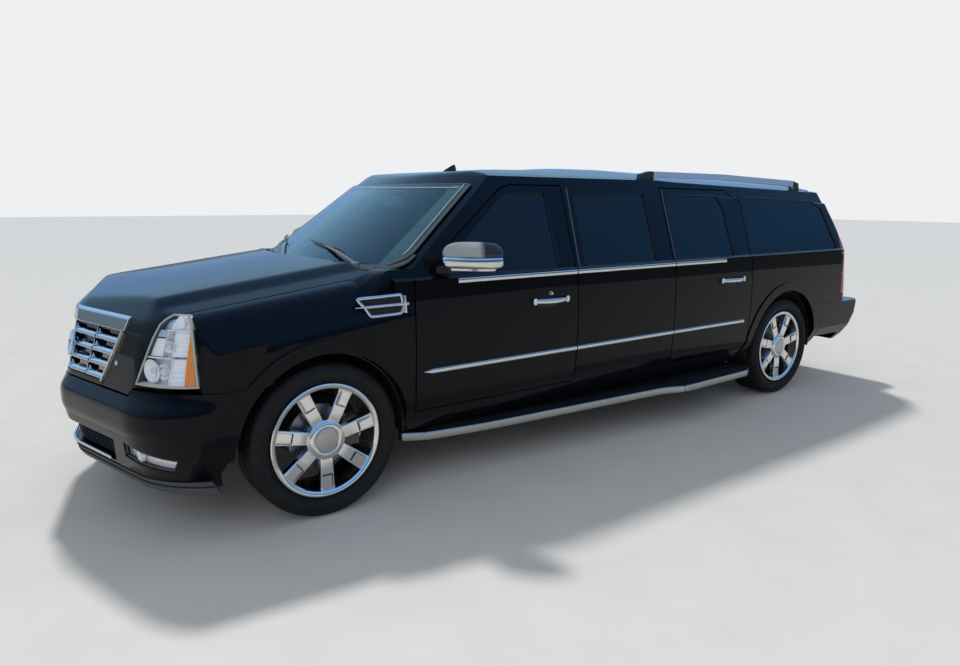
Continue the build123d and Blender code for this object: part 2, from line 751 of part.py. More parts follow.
# Fog lamps sit in the bumper's pockets
FOG_SETBACK = 14
FOG_DEPTH = 46
with BuildPart() as fog_lamp:
    nose_stack([BUMPER_LEVELS[1], BUMPER_LEVELS[2]], inset=FOG_SETBACK, setback=FOG_SETBACK)
    front_prism([(y, z) for y, z in FOG_POCKET], 2700, 3400, mode=Mode.INTERSECT)
    with BuildPart() as fog_back:
        nose_stack(
            [(300, 3180), BUMPER_LEVELS[2]],
            inset=FOG_SETBACK + FOG_DEPTH,
            setback=FOG_SETBACK + FOG_DEPTH,
        )
    add(fog_back.part, mode=Mode.SUBTRACT)
finish(pair(fog_lamp), "fog_lamps")

# Grille: a chrome frame with a broad header, deep louvres and dark-gapped uprights
LOUVRES = 4
UPRIGHTS_HALF = 3
GRILLE_DEPTH = 34


def grille_face(setback, depth, mode):
    """A layer of the grille's leaning V face, set back along X and of one depth."""
    levels = [(BUMPER_TOP - 6, 3214.4), (GRILLE_TOP + 6, 3134)]
    with BuildPart() as layer:
        nose_stack(levels, inset=0, setback=setback)
    with BuildPart() as behind:
        nose_stack(levels, inset=0, setback=setback + depth)
    add(layer.part - behind.part, mode=mode)


def grille_edge(z):
    """Half width of the grille at a height."""
    return 404 + (z - 714) * (558 - 404) / (1030 - 714)


def trapezoid(low, high, inset):
    """A band of the grille's front outline between two heights."""
    half = [(grille_edge(low) - inset, low), (grille_edge(high) - inset, high)]
    return half + [(-y, z) for y, z in reversed(half)]


GRILLE_LOW = 714
CRATE_HIGH = 982
FRAME_BAND = 18
LOUVRE_HEIGHT = 26
UPRIGHT_HALF_WIDTH = 7
with BuildPart() as grille:
    front_prism(trapezoid(GRILLE_LOW, CRATE_HIGH, 0), 2900, 3400)
    hole = trapezoid(GRILLE_LOW + FRAME_BAND, CRATE_HIGH - FRAME_BAND / 2, FRAME_BAND)
    front_prism(hole, 2900, 3400, mode=Mode.SUBTRACT)
    pitch = (CRATE_HIGH - GRILLE_LOW) / LOUVRES
    for row in range(1, LOUVRES):
        low = GRILLE_LOW + pitch * row - LOUVRE_HEIGHT / 2
        front_prism(trapezoid(low, low + LOUVRE_HEIGHT, FRAME_BAND - 4), 2900, 3400)
    for column in range(-UPRIGHTS_HALF, UPRIGHTS_HALF + 1):
        share = column / (UPRIGHTS_HALF + 0.8)
        foot, head = share * grille_edge(GRILLE_LOW), share * grille_edge(CRATE_HIGH)
        side = UPRIGHT_HALF_WIDTH
        upright = [
            (foot - side, GRILLE_LOW + 4), (foot + side, GRILLE_LOW + 4),
            (head + side, CRATE_HIGH - 4), (head - side, CRATE_HIGH - 4),
        ]
        front_prism(upright, 2900, 3400)
    grille_face(2, GRILLE_DEPTH, Mode.INTERSECT)
finish(grille, "grille")

# The broad header bar over the grille rides on the hood
with BuildPart() as grille_header:
    front_prism(trapezoid(HEADER_LOW, GRILLE_TOP, 0), 2900, 3400)
    grille_face(2, GRILLE_DEPTH, Mode.INTERSECT)
finish(grille_header, "grille_header")

# Rear bumper: a cover with a step on top, wrapped to the sides and open below
BUMPER_REAR_LEVELS = [(350, -3010), (460, -3110), (600, -3222), (690, TAIL), (722, TAIL + 8)]
BUMPER_CAVITY = [(300, -2935), (460, -3035), (600, -3147), (688, -3165)]
with BuildPart() as rear_bumper:
    tail_stack(BUMPER_REAR_LEVELS, 0, 0, Mode.ADD)
    block((-3400, -HALF_SPAN, 0), (BUMPER_FRONT_X, HALF_SPAN, 800), mode=Mode.INTERSECT)
    side_section(-3400, -2000, Mode.INTERSECT)
    tail_stack(BUMPER_CAVITY, 60, 0, Mode.SUBTRACT)
    block((-2996, -943, 600), (-2400, 943, 800), mode=Mode.SUBTRACT)
    block((-3400, -60, 300), (-2900, 60, 470), mode=Mode.SUBTRACT)
finish(rear_bumper, "rear_bumper")

with BuildPart() as tail_lamp:
    add(cabin_shell.part)
    front_prism(
        [(y + 2, z + (2 if z == 800 else -2)) for y, z in TAIL_LAMP],
        -3200,
        TAIL_LAMP_X,
        mode=Mode.INTERSECT,
    )
finish(pair(tail_lamp), "tail_lamps")

# Floor: low in front, stepped up over the rear axle, with a tub over each rear wheel
FLOOR_HALF = 866
FLOOR_THICK = 35
REAR_FLOOR = 700
TUB_INNER_Y = 640
floor_top = [(VOID_FRONT - 2, FLOOR_TOP), (-1270, FLOOR_TOP), (-1425, REAR_FLOOR), (-2900, REAR_FLOOR)]
floor_under = [
    (-2900, REAR_FLOOR - FLOOR_THICK),
    (-1445, REAR_FLOOR - FLOOR_THICK),
    (-1290, FLOOR_TOP - FLOOR_THICK),
    (VOID_FRONT - 2, FLOOR_TOP - FLOOR_THICK),
]
with BuildPart() as floor_pan:
    side_prism(floor_top + floor_under, -FLOOR_HALF, FLOOR_HALF)
    for side in (-1, 1):
        outer_ends = sorted((side * (TUB_INNER_Y - 15), side * FLOOR_HALF))
        inner_ends = sorted((side * TUB_INNER_Y, side * (FLOOR_HALF + 5)))
        with BuildPart() as tub:
            cross_cylinder(AXLE_REAR, WHEEL_Z, ARCH_RADIUS_REAR + 15, *outer_ends)
            block((-2600, -900, -200), (-1200, 900, REAR_FLOOR - FLOOR_THICK), mode=Mode.SUBTRACT)
        add(tub.part)
        cross_cylinder(AXLE_REAR, WHEEL_Z, ARCH_RADIUS_REAR, *inner_ends, mode=Mode.SUBTRACT)
    block((-2985, -820, 560), (-2900, 820, GATE_FOOT - GAP - 2))
finish(floor_pan, "floor_pan")

# Firewall and the cowl panel between the hood and the windshield
COWL_LOW = 1206
COWL_HIGH = 1226
with BuildPart() as firewall:
    block((VOID_FRONT, -740, FLOOR_TOP - FLOOR_THICK), (VOID_FRONT + 30, 740, 1180))
    block((VOID_FRONT, -740, 1150), (2080, 740, COWL_LOW - 4))
    screen_prism(HOOD_REAR_SETBACK + GAP + 2, Mode.INTERSECT, round_foot=True)
finish(firewall, "firewall")

cowl_half = [(1694, 730), (1808, 730), (1808, 812), (2080, 812)]
with BuildPart() as screen_dam:
    block((1694, -730, COWL_HIGH - 4), (2080, 730, SCREEN_Z + 8))
    screen_prism(4, Mode.INTERSECT, round_foot=True)
    screen_prism(26, Mode.SUBTRACT, round_foot=True)
with BuildPart() as cowl_panel:
    plan_prism(cowl_half + [(x, -y) for x, y in reversed(cowl_half)], COWL_LOW, COWL_HIGH)
    screen_prism(HOOD_REAR_SETBACK + GAP, Mode.INTERSECT, round_foot=True)
    add(screen_dam.part)
finish(cowl_panel, "cowl_panel")

# Ladder frame
RAIL_INNER = 360
RAIL_OUTER = 440
RAIL_TOP = [
    (2990, 500), (1980, 500), (1740, 396), (-1300, 396),
    (-1450, 640), (-2300, 640), (-2500, 560), (-2930, 560),
]
RAIL_UNDER = [
    (-2930, 440), (-2480, 440), (-2280, 520), (-1500, 520),
    (-1330, 262), (1660, 262), (1900, 380), (2990, 380),
]
with BuildPart() as rail:
    side_prism(RAIL_TOP + RAIL_UNDER, RAIL_INNER, RAIL_OUTER)
finish(pair(rail), "frame_rails")

# Crossmembers: x, underside, height
CROSSMEMBERS = [
    (2880, 390, 90),
    (1400, 264, 54),
    (560, 264, 54),
    (-300, 264, 54),
    (-1130, 264, 54),
    (-2240, 540, 80),
]
with BuildPart() as crossmembers:
    for x, under, height in CROSSMEMBERS:
        block((x - 45, -RAIL_INNER, under), (x + 45, RAIL_INNER, under + height))
finish(crossmembers, "crossmembers")

# Tow hitch: a cross tube between the rails with a square receiver and its pin hole
RECEIVER_END = -3150
RECEIVER_Z = 400
RECEIVER_HALF = 38
RECEIVER_BORE = 25.8
PIN_RADIUS = 8.2
PIN_SETBACK = 60
with BuildPart() as tow_hitch:
    block((-2905, -RAIL_INNER, 405), (-2835, RAIL_INNER, 475))
    block(
        (RECEIVER_END, -RECEIVER_HALF, RECEIVER_Z - RECEIVER_HALF),
        (-2830, RECEIVER_HALF, RECEIVER_Z + RECEIVER_HALF),
    )
    block(
        (RECEIVER_END - 10, -RECEIVER_BORE, RECEIVER_Z - RECEIVER_BORE),
        (-2915, RECEIVER_BORE, RECEIVER_Z + RECEIVER_BORE),
        mode=Mode.SUBTRACT,
    )
    pin_x = RECEIVER_END + PIN_SETBACK
    cross_cylinder(pin_x, RECEIVER_Z, PIN_RADIUS, -60, 60, mode=Mode.SUBTRACT)
finish(tow_hitch, "tow_hitch")

# Hub carrier: flange, stub axle and brake caliper, for one left wheel
FLANGE_IN = 745
FLANGE_OUT = 805
STUB_END = 905
DISC_IN = 842
DISC_OUT = 866
DISC_RADIUS = 172


def hub_carrier(x):
    """Flange, stub axle and caliper at one axle, on the left."""
    cross_cylinder(x, WHEEL_Z, 70, FLANGE_IN, FLANGE_OUT)
    cross_cylinder(x, WHEEL_Z, STUB_RADIUS, FLANGE_OUT - 1, STUB_END)
    caliper = [(-212, -75), (-212, 75), (-120, 75), (-120, -75)]
    side_prism([(x + dx, WHEEL_Z + dz) for dx, dz in caliper], 800, 890)
    slot = [(-186, -90), (-186, 90), (-100, 90), (-100, -90)]
    side_prism([(x + dx, WHEEL_Z + dz) for dx, dz in slot], 835, 873, mode=Mode.SUBTRACT)
    side_prism(
        [(x - 190, WHEEL_Z - 30), (x - 190, WHEEL_Z + 30), (x, WHEEL_Z + 30), (x, WHEEL_Z - 30)],
        FLANGE_IN + 5,
        FLANGE_OUT - 3,
    )


BALL_LOW = 262
BALL_HIGH = 570
with BuildPart() as knuckle_left:
    hub_carrier(AXLE_FRONT)
    block((AXLE_FRONT - 32, FLANGE_IN, 300), (AXLE_FRONT + 32, FLANGE_IN + 45, 540))
    block((AXLE_FRONT - 28, FLANGE_IN, 293), (AXLE_FRONT + 28, KINGPIN_Y + 20, 325))
    block((AXLE_FRONT - 28, FLANGE_IN, 512), (AXLE_FRONT + 28, KINGPIN_Y + 20, 544))
finish(knuckle_left, "knuckle_left")
finish(other_side(knuckle_left), "knuckle_right")

with BuildPart() as suspension:
    plan_prism(
        [(2310, RAIL_OUTER), (2070, RAIL_OUTER), (2155, 780), (2225, 780)],
        BALL_LOW,
        BALL_LOW + 28,
    )
    bar((AXLE_FRONT, KINGPIN_Y, BALL_LOW), (AXLE_FRONT, KINGPIN_Y, BALL_LOW + 28), 27)
    block((2070, RAIL_OUTER - 40, BALL_LOW), (2310, RAIL_OUTER, 379))
    block((2110, RAIL_OUTER - 60, 501), (2270, RAIL_OUTER + 20, 650))
    plan_prism(
        [(2270, RAIL_OUTER + 15), (2110, RAIL_OUTER + 15), (2165, 780), (2215, 780)],
        BALL_HIGH - 24,
        BALL_HIGH,
    )
    bar((AXLE_FRONT, KINGPIN_Y, BALL_HIGH - 24), (AXLE_FRONT, KINGPIN_Y, BALL_HIGH), 26)
finish(pair(suspension), "front_suspension")

with BuildPart() as half_axle:
    hub_carrier(AXLE_REAR)
    cross_cylinder(AXLE_REAR, WHEEL_Z, 45, 0, FLANGE_IN + 5)
    bar((AXLE_REAR, 560, WHEEL_Z + 40), (AXLE_REAR, 560, 640), 55)
with BuildPart() as rear_axle:
    add(half_axle.part)
    add(mirror(half_axle.part, about=Plane.XZ, mode=Mode.PRIVATE))
    with Locations((AXLE_REAR, 0, WHEEL_Z)):
        Sphere(135)
    bar((AXLE_REAR, 0, WHEEL_Z), (AXLE_REAR + 230, 0, WHEEL_Z - 8), 62)
finish(rear_axle, "rear_axle")

# Wheel with its disc: profile columns are (radius, y from the wheel's middle plane)
RIM_PROFILE = [
    (298, -119), (298, -108), (286, -106), (286, -82), (264, -62), (264, 36),
    (286, 74), (286, 106), (298, 108), (298, 122), (288, 126), (274, 116),
    (274, 70), (252, 32), (252, -66), (274, -86), (274, -119),
]
SPOKE_HALF = [(80, 34), (178, 37), (180, 33), (240, 36), (282, 42)]
HUB_RADIUS = 105
CAP_RADIUS = 92
TYRE_OUTER = [(286.3, 105), (299, 105), (304, 114), (322, 134), (350, 142.5), (378, 138), (396, 122), (404, 98)]
TYRE_INNER = [(392, 92), (384, 110), (368, 122), (345, 126), (318, 116), (299, 96), (286.3, 84)]


def ring(profile, x, mid_y):
    """Solid of revolution about a wheel axis from (radius, y) points."""
    plane = Plane(origin=(x, mid_y, WHEEL_Z), x_dir=(1, 0, 0), z_dir=(0, 0, 1))
    with BuildSketch(plane) as section:
        with BuildLine():
            Polyline(*profile, close=True)
        make_face()
    revolve(section.sketch, axis=Axis((x, mid_y, WHEEL_Z), (0, 1, 0)))


def wheel(x):
    """A left wheel: rim, spokes, hub with its stub bore, and brake disc."""
    with BuildPart() as made:
        ring(RIM_PROFILE, x, TRACK_HALF)
        with BuildPart() as spoke:
            outline = SPOKE_HALF + [(r, -w) for r, w in reversed(SPOKE_HALF)]
            side_prism([(x + r, WHEEL_Z + w) for r, w in outline], TRACK_HALF + 76, TRACK_HALF + 110)
        for turn in range(SPOKES):
            about = Axis((x, 0, WHEEL_Z), (0, 1, 0))
            add(spoke.part.rotate(about, 90 + turn * 360 / SPOKES))
        cross_cylinder(x, WHEEL_Z, HUB_RADIUS, TRACK_HALF + 60, TRACK_HALF + 114)
        cross_cylinder(x, WHEEL_Z, CAP_RADIUS, TRACK_HALF + 60, TRACK_HALF + 122)
        cross_cylinder(x, WHEEL_Z, 78, FLANGE_OUT + 6, TRACK_HALF + 61)
        cross_cylinder(x, WHEEL_Z, DISC_RADIUS, DISC_IN, DISC_OUT)
        bore = STUB_RADIUS + STUB_PLAY
        cross_cylinder(x, WHEEL_Z, bore, FLANGE_OUT, STUB_END + 5, mode=Mode.SUBTRACT)
    return made


for row, x in (("front", AXLE_FRONT), ("rear", AXLE_REAR)):
    rim = wheel(x)
    finish(rim, f"wheel_{row}_left")
    finish(other_side(rim), f"wheel_{row}_right")
    with BuildPart() as tyre:
        ring(
            TYRE_OUTER + [(r, -y) for r, y in reversed(TYRE_OUTER)]
            + [(r, -y) for r, y in reversed(TYRE_INNER)] + TYRE_INNER,
            x,
            TRACK_HALF,
        )
    finish(tyre, f"tyre_{row}_left")
    finish(other_side(tyre), f"tyre_{row}_right")

# Driveline, tank and exhaust under the floor
SHAFT_Z = 360
with BuildPart() as driveshaft:
    bar((1146, 0, SHAFT_Z), (-1270, 0, SHAFT_Z), 34)
    bar((-1268, 0, SHAFT_Z), (AXLE_REAR + 236, 0, WHEEL_Z - 8), 34)
    with Locations((-1270, 0, SHAFT_Z)):
        Sphere(40)
finish(driveshaft, "driveshaft")

with BuildPart() as engine:
    block((1900, -290, 510), (2620, 290, 1060))
    block((1740, -170, 326), (2560, 170, 512))
    block((1150, -150, 326), (1750, 150, 397))
finish(engine, "engine")

with BuildPart() as fuel_tank:
    block((-1180, -720, 262), (-40, -452, 396))
    fillet(fuel_tank.edges().filter_by(Axis.X), 40)
finish(fuel_tank, "fuel_tank")

EXHAUST_Y = 240
with BuildPart() as exhaust:
    bar((1080, EXHAUST_Y, 356), (420, EXHAUST_Y, 356), 32)
    bar((-180, EXHAUST_Y, 356), (-1225, EXHAUST_Y, 356), 32)
    with BuildSketch(Plane.YZ.offset(-182)) as muffler:
        with Locations((EXHAUST_Y - 30, 358)):
            SlotOverall(190, 74)
    extrude(muffler.sketch, amount=604)
finish(exhaust, "exhaust")

# Radiator and its carrier frame behind the grille
with BuildPart() as radiator_support:
    block((2700, -660, 505), (2752, 660, 1020))
    for side in (-1, 1):
        block((2752, side * 300 - 270, 560), (2790, side * 300 + 270, 960), mode=Mode.SUBTRACT)
        block((2740, side * 300 - 270, 560), (2760, side * 300 + 270, 960), mode=Mode.SUBTRACT)
finish(radiator_support, "radiator_support")

# Running boards follow the body, then step out at the rear door (x, outer y)
BOARD_EDGE = [(1672, 820), (1560, 885), (1240, 932), (1060, 948), (-360, 1030), (-520, 1090), (-1340, 1062), (-1425, 1000)]
BOARD_INNER_Y = 770
BOARD_LOW = 250
BOARD_HIGH = 304
BRACKETS = (1300, 300)
with BuildPart() as running_board:
    plan_prism(
        [(BOARD_EDGE[0][0], BOARD_INNER_Y), *BOARD_EDGE, (BOARD_EDGE[-1][0], BOARD_INNER_Y)],
        BOARD_LOW,
        BOARD_HIGH,
    )
    for x in BRACKETS:
        block((x - 30, RAIL_OUTER, BOARD_LOW + 14), (x + 30, BOARD_INNER_Y + 20, BOARD_HIGH - 6))
finish(pair(running_board), "running_boards")

# Dashboard with the steering column and wheel
DASH_OUTLINE = [(1688, 1150), (1688, 760), (1600, 700), (1500, 760), (1450, 980), (1490, 1090), (1600, 1150)]
STEER_CENTRE = (1345, 400, 1010)
with BuildPart() as dashboard:
    side_prism(DASH_OUTLINE, -845, 845)
    block((1050, -120, FLOOR_TOP + 1), (1560, 120, 700))
    bar((1520, 400, 950), STEER_CENTRE, 30)
    column = Vector(*STEER_CENTRE) - Vector(1520, 400, 950)
    wheel_plane = Plane(origin=STEER_CENTRE, z_dir=column)
    with BuildSketch(wheel_plane) as spokes:
        Rectangle(50, 340)
        Rectangle(340, 50)
    extrude(spokes.sketch, amount=16)
    add(Solid.make_torus(180, 15, wheel_plane))
finish(dashboard, "dashboard")


def seat(x, y, width, deep, base, cushion_top, back_top, lean):
    """A plain seat: cushion on a plinth and a leaning back."""
    half = width / 2
    side_prism(
        [
            (x, base), (x + deep, base), (x + deep, cushion_top - 60), (x + deep - 40, cushion_top),
            (x + 110, cushion_top), (x + 110 - lean, back_top), (x - lean, back_top),
        ],
        y - half,
        y + half,
    )


with BuildPart() as front_seat:
    seat(620, 420, 520, 560, FLOOR_TOP + 1, 760, 1370, 130)
    fillet(front_seat.edges().filter_by(Axis.Y), 24)
finish(pair(front_seat), "front_seats")

BENCH_TOP = 780
with BuildPart() as lounge_seats:
    plan_prism(
        [
            (-1200, -820), (-1200, 560), (-720, 560), (-720, -320), (120, -320), (120, -820),
        ],
        FLOOR_TOP + 1,
        BENCH_TOP,
    )
    plan_prism(
        [
            (-1200, -820), (-1200, 560), (-1060, 560), (-1060, -700), (120, -700), (120, -820),
        ],
        BENCH_TOP,
        1140,
    )
finish(lounge_seats, "lounge_seats")

# Door mirrors: an arm on the door, a broad base and a rounded cap, in plan (x, y)
MIRROR_PLAN = [
    (1392, 1010), (1304, 1016), (1262, 1206), (1290, 1238), (1352, 1228),
    (1440, 1172), (1508, 1090), (1534, 1012),
]
MIRROR_LOW = 1236
MIRROR_SPLIT = 1312
MIRROR_TOP = 1392
with BuildPart() as mirror_left:
    plan_prism(MIRROR_PLAN, MIRROR_LOW, MIRROR_SPLIT)
    fillet(mirror_left.edges().filter_by(Axis.Z), 22)
    with BuildSketch(Plane.XY.offset(MIRROR_SPLIT)) as cap:
        with BuildLine():
            Polyline(*MIRROR_PLAN, close=True)
        make_face()
        offset(amount=-8, kind=Kind.INTERSECTION)
    extrude(cap.sketch, amount=MIRROR_TOP - MIRROR_SPLIT, taper=14)
    arm = [(1540, 940), (1452, 940), (1440, 1030), (1520, 1030)]
    plan_prism(arm, MIRROR_LOW - 22, MIRROR_LOW + 34)
    add(cabin_outer.part, mode=Mode.SUBTRACT)
finish(mirror_left, "mirror_left")
finish(other_side(mirror_left), "mirror_right")

# Roof rails on the rear half
RAIL_Y = 722
RAIL_OUTLINE = [
    (-330, 1740), (-338, 1796), (-430, 1818), (-1300, 1817), (-2300, 1788), (-2400, 1768), (-2420, 1700),
    (-2330, 1700), (-2290, 1739), (-1300, 1775), (-500, 1776), (-470, 1740),
]
with BuildPart() as roof_rail:
    side_prism(RAIL_OUTLINE, RAIL_Y - 17, RAIL_Y + 17)
    fillet(roof_rail.edges().filter_by(Axis.Y), 6)
    add(cabin_outer.part, mode=Mode.SUBTRACT)
finish(pair(roof_rail), "roof_rails")
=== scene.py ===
"""Stretch limousine dressed around its frame: paint, glass, bright trim, wheels, lamps and cabin."""

import math

import bmesh
import bpy
import numpy as np
from mathutils import Matrix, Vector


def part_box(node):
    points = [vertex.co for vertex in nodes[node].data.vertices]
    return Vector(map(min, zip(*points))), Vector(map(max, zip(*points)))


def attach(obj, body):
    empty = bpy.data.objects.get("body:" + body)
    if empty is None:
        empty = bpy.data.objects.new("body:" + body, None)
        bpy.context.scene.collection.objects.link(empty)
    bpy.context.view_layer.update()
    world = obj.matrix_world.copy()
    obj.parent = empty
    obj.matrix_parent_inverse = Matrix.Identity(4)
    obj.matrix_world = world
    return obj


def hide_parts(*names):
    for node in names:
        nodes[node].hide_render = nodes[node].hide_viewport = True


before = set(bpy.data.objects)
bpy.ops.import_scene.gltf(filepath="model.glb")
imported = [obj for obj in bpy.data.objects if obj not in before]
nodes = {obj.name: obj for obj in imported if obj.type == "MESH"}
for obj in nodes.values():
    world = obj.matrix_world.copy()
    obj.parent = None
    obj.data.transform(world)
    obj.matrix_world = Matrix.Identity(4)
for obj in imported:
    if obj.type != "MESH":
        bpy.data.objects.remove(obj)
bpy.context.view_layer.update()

# Places shared with the frame, in metres
AXLES = {"front": 2.190, "rear": -1.940}
WHEEL_Z = 0.404
TRACK_HALF = 0.840
HALF_WIDTH = 1.003
DOOR_MIDDLE_FRONT = 0.490
DOOR_MIDDLE_REAR = -0.470
SEAM = 0.004
SIDES = {"left": 1, "right": -1}
AERIAL_FOOT = 1.801

# Front end in plan: round apex, shallow V, corner arc; each level of the nose is (height, reach)
V_SLOPE = 0.26
APEX_RADIUS = 0.30
APEX_HALF = 0.0754
APEX_SETBACK = 0.30997
CORNER_RADIUS = 0.45
CORNER_Y = HALF_WIDTH - CORNER_RADIUS
CORNER_START = HALF_WIDTH - 0.3369
CORNER_TURN = 0.2537
CORNER_SETBACK = V_SLOPE * HALF_WIDTH + 0.3481
NOSE_LEVELS = [
    (0.262, 3.155), (0.330, 3.200), (0.560, 3.250), (0.640, 3.250), (0.706, 3.213),
    (1.054, 3.134), (1.126, 3.066), (1.330, 2.890),
]
FRONT_ARCH = 0.542
SCREEN_RADIUS = 1.738
SCREEN_LEAN = 1.45
SCREEN_UP = (0.57, 0, 0.82)
GLASS_UP = (0, 0.95, 0.31)
GLASS_FOOT = (0.967, 1.202)
GLASS_LEAN = 0.33266


# Shader expressions

class Wire:
    """A socket in a node tree; the operators add Math nodes."""

    def __init__(self, made, socket):
        self.made = made
        self.socket = socket

    def maths(self, operation, first, second=0.0):
        return self.made.node("Math", {"operation": operation}, {0: first, 1: second})

    def __add__(self, other):
        return self.maths("ADD", self, other)

    def __sub__(self, other):
        return self.maths("SUBTRACT", self, other)

    def __rsub__(self, other):
        return self.maths("SUBTRACT", other, self)

    def __mul__(self, other):
        return self.maths("MULTIPLY", self, other)

    def __pow__(self, other):
        return self.maths("POWER", self, other)

    def __gt__(self, other):
        return self.maths("GREATER_THAN", self, other)

    def __lt__(self, other):
        return self.maths("LESS_THAN", self, other)

    __radd__ = __add__
    __rmul__ = __mul__

    def sine(self):
        return self.maths("SINE", self)

    def size(self):
        return self.maths("ABSOLUTE", self)

    def at_most(self, limit):
        return self.maths("MINIMUM", self, limit)

    def at_least(self, other):
        return self.maths("MAXIMUM", self, other)


class Nodes:
    """A node tree that is built by calls."""

    def __init__(self, tree):
        self.tree = tree
        tree.nodes.clear()

    def feed(self, socket, value):
        """A link or a plain value into one socket."""
        if isinstance(value, Wire):
            self.tree.links.new(value.socket, socket)
        elif isinstance(value, (tuple, list)) and socket.type == "RGBA":
            socket.default_value = (*value[:3], 1.0)
        else:
            socket.default_value = value

    def node(self, kind, settings=None, values=None, output=0):
        """One node: its settings first, then the values or links of its sockets."""
        made = self.tree.nodes.new("ShaderNode" + kind)
        for key, value in (settings or {}).items():
            setattr(made, key, value)
        for key, value in (values or {}).items():
            self.feed(made.inputs[key], value)
        return Wire(self, made.outputs[output])

    def place(self):
        return self.node("TexCoord", output="Object")

    def split(self, vector):
        """The three coordinates of a vector."""
        return [self.node("SeparateXYZ", None, {0: vector}, output=axis) for axis in range(3)]

    def noise(self, scale, detail=2.0, stretch=(1, 1, 1)):
        place = self.node("Mapping", None, {"Vector": self.place(), "Scale": stretch})
        return self.node("TexNoise", None, {"Vector": place, "Scale": scale, "Detail": detail})

    def pebbles(self, scale):
        return self.node("TexVoronoi", {"feature": "SMOOTH_F1"}, {"Vector": self.place(), "Scale": scale})

    def ramp(self, factor, stops):
        """Colour by a factor: stops are (place, colour), from low to high, with a grey as one number."""
        made = self.tree.nodes.new("ShaderNodeValToRGB")
        elements = made.color_ramp.elements
        while len(elements) < len(stops):
            elements.new(1.0)
        for element, (place, colour) in zip(elements, stops):
            element.position = place
            element.color = (*(colour if len(colour) == 3 else colour * 3), 1.0)
        self.feed(made.inputs[0], factor)
        return Wire(self, made.outputs[0])

    def mix(self, factor, first, second):
        return self.node("Mix", {"data_type": "RGBA"}, {"Factor": factor, 6: first, 7: second}, output=2)

    def bump(self, height, strength, distance):
        return self.node("Bump", None, {"Height": height, "Strength": strength, "Distance": distance})


class Finish(Nodes):
    """A material with one Principled surface."""

    def __init__(self, name, **surface):
        self.material = bpy.data.materials.new(name)
        self.material.use_nodes = True
        super().__init__(self.material.node_tree)
        self.output = self.tree.nodes.new("ShaderNodeOutputMaterial")
        self.surface = self.tree.nodes.new("ShaderNodeBsdfPrincipled")
        self.tree.links.new(self.surface.outputs[0], self.output.inputs["Surface"])
        self.set(**surface)

    def set(self, **surface):
        """Sockets of the surface by name, with _ for a space; gives the material."""
        for key, value in surface.items():
            self.feed(self.surface.inputs[key.replace("_", " ")], value)
        return self.material

    def grazing(self):
        """Rises from 0 to 1 towards grazing view, as the fifth power of the facing share."""
        return self.node("LayerWeight", None, {"Blend": 0.5}, output="Facing") ** 5.0

    def over_clear(self, share, tint):
        """The surface's share over a tinted see-through part; gives the material."""
        clear = self.node("BsdfTransparent", None, {"Color": tint})
        mixed = self.node("MixShader", None, {0: share, 1: clear, 2: Wire(self, self.surface.outputs[0])})
        self.tree.links.new(mixed.socket, self.output.inputs["Surface"])
        return self.material


def gloss_paint():
    """Deep blue-black with clear coat, a faint flake and road dust that fades out above the sills."""
    made = Finish(
        "gloss_black_paint", Coat_Weight=1.0, Coat_Roughness=0.012, Coat_IOR=1.24, IOR=1.4,
        Specular_IOR_Level=0.06,
    )
    height = made.split(made.place())[2]
    dust = made.noise(9.0, 5.0) * made.ramp(height, [(0.22, (1.0,)), (0.55, (0.0,))])
    flake = made.noise(900.0, 1.0)
    colour = made.mix(flake, (0.0010, 0.0014, 0.0032), (0.0022, 0.0030, 0.0062))
    return made.set(
        Base_Color=made.mix(dust * 0.10, colour, (0.12, 0.10, 0.08)),
        Roughness=0.30 + made.noise(3.0, 3.0) * 0.10 + dust * 0.2,
        Normal=made.bump(made.noise(260.0, 2.0), 0.008, 0.001),
    )


def mirror_cap():
    """Black cap with painted light: satin dark grey where the sun's glare shows, black on the rear third
    where it is in shade, told apart by a slanted line in plan.
    """
    made = Finish("mirror_cap_painted_glare", Coat_Weight=0.35, Coat_Roughness=0.2)
    along, across, height = made.split(made.place())
    past_line = (1.355 - along + (across.size() - 1.12) * 0.45) * 30.0 + 0.5
    behind = made.ramp(past_line, [(0.0, (0.0,)), (1.0, (1.0,))])
    grain = made.noise(240.0, 3.0)
    return made.set(
        # Grey: painted sun glare on the black cap; black: the cap's shaded rear third
        Base_Color=made.mix(behind, (0.30, 0.31, 0.32), (0.010, 0.010, 0.012)),
        Roughness=0.30 + grain * 0.12,
        Normal=made.bump(grain, 0.05, 0.001),
    )


def lamp_shell():
    """Bright lamp housing: half mirror, half pale moulding, with a moulded haze."""
    made = Finish("lamp_shell", Metallic=0.22)
    haze = made.noise(30.0, 4.0)
    return made.set(
        Base_Color=made.mix(haze, (0.86, 0.90, 0.94), (0.95, 0.96, 0.96)),
        Roughness=0.12 + haze * 0.12,
        Normal=made.bump(haze, 0.08, 0.002),
    )


def rail_sky_tint():
    """Satin bright bar between two black feet, told apart by the place along the car; the bar's blue colour
    is a painted sky reflection.
    """
    made = Finish("rail_sky_tint", Coat_Weight=0.4, Coat_Roughness=0.08)
    along = made.split(made.place())[0]
    bright = (along < -0.478) * (along > -2.315)
    streak = made.noise(1.0, 4.0, stretch=(2, 240, 240))
    # Blue bar colour: painted reflection of the sky on silver metal
    metal = made.mix(streak, (0.42, 0.56, 0.78), (0.52, 0.66, 0.88))
    return made.set(
        Base_Color=made.mix(bright, (0.012, 0.012, 0.014), metal),
        Metallic=bright * 0.7,
        Roughness=0.30 + bright * 0.12 + streak * 0.1,
        Normal=made.bump(streak, 0.04, 0.001),
    )


def satin_paint(name, low, high, rough):
    """Flat dark coating with blotches and a fine orange peel."""
    made = Finish(name)
    patches = made.noise(14.0, 6.0)
    return made.set(
        Base_Color=made.mix(patches, low, high),
        Roughness=rough + patches * 0.25,
        Normal=made.bump(made.noise(300.0, 3.0), 0.25, 0.001),
    )


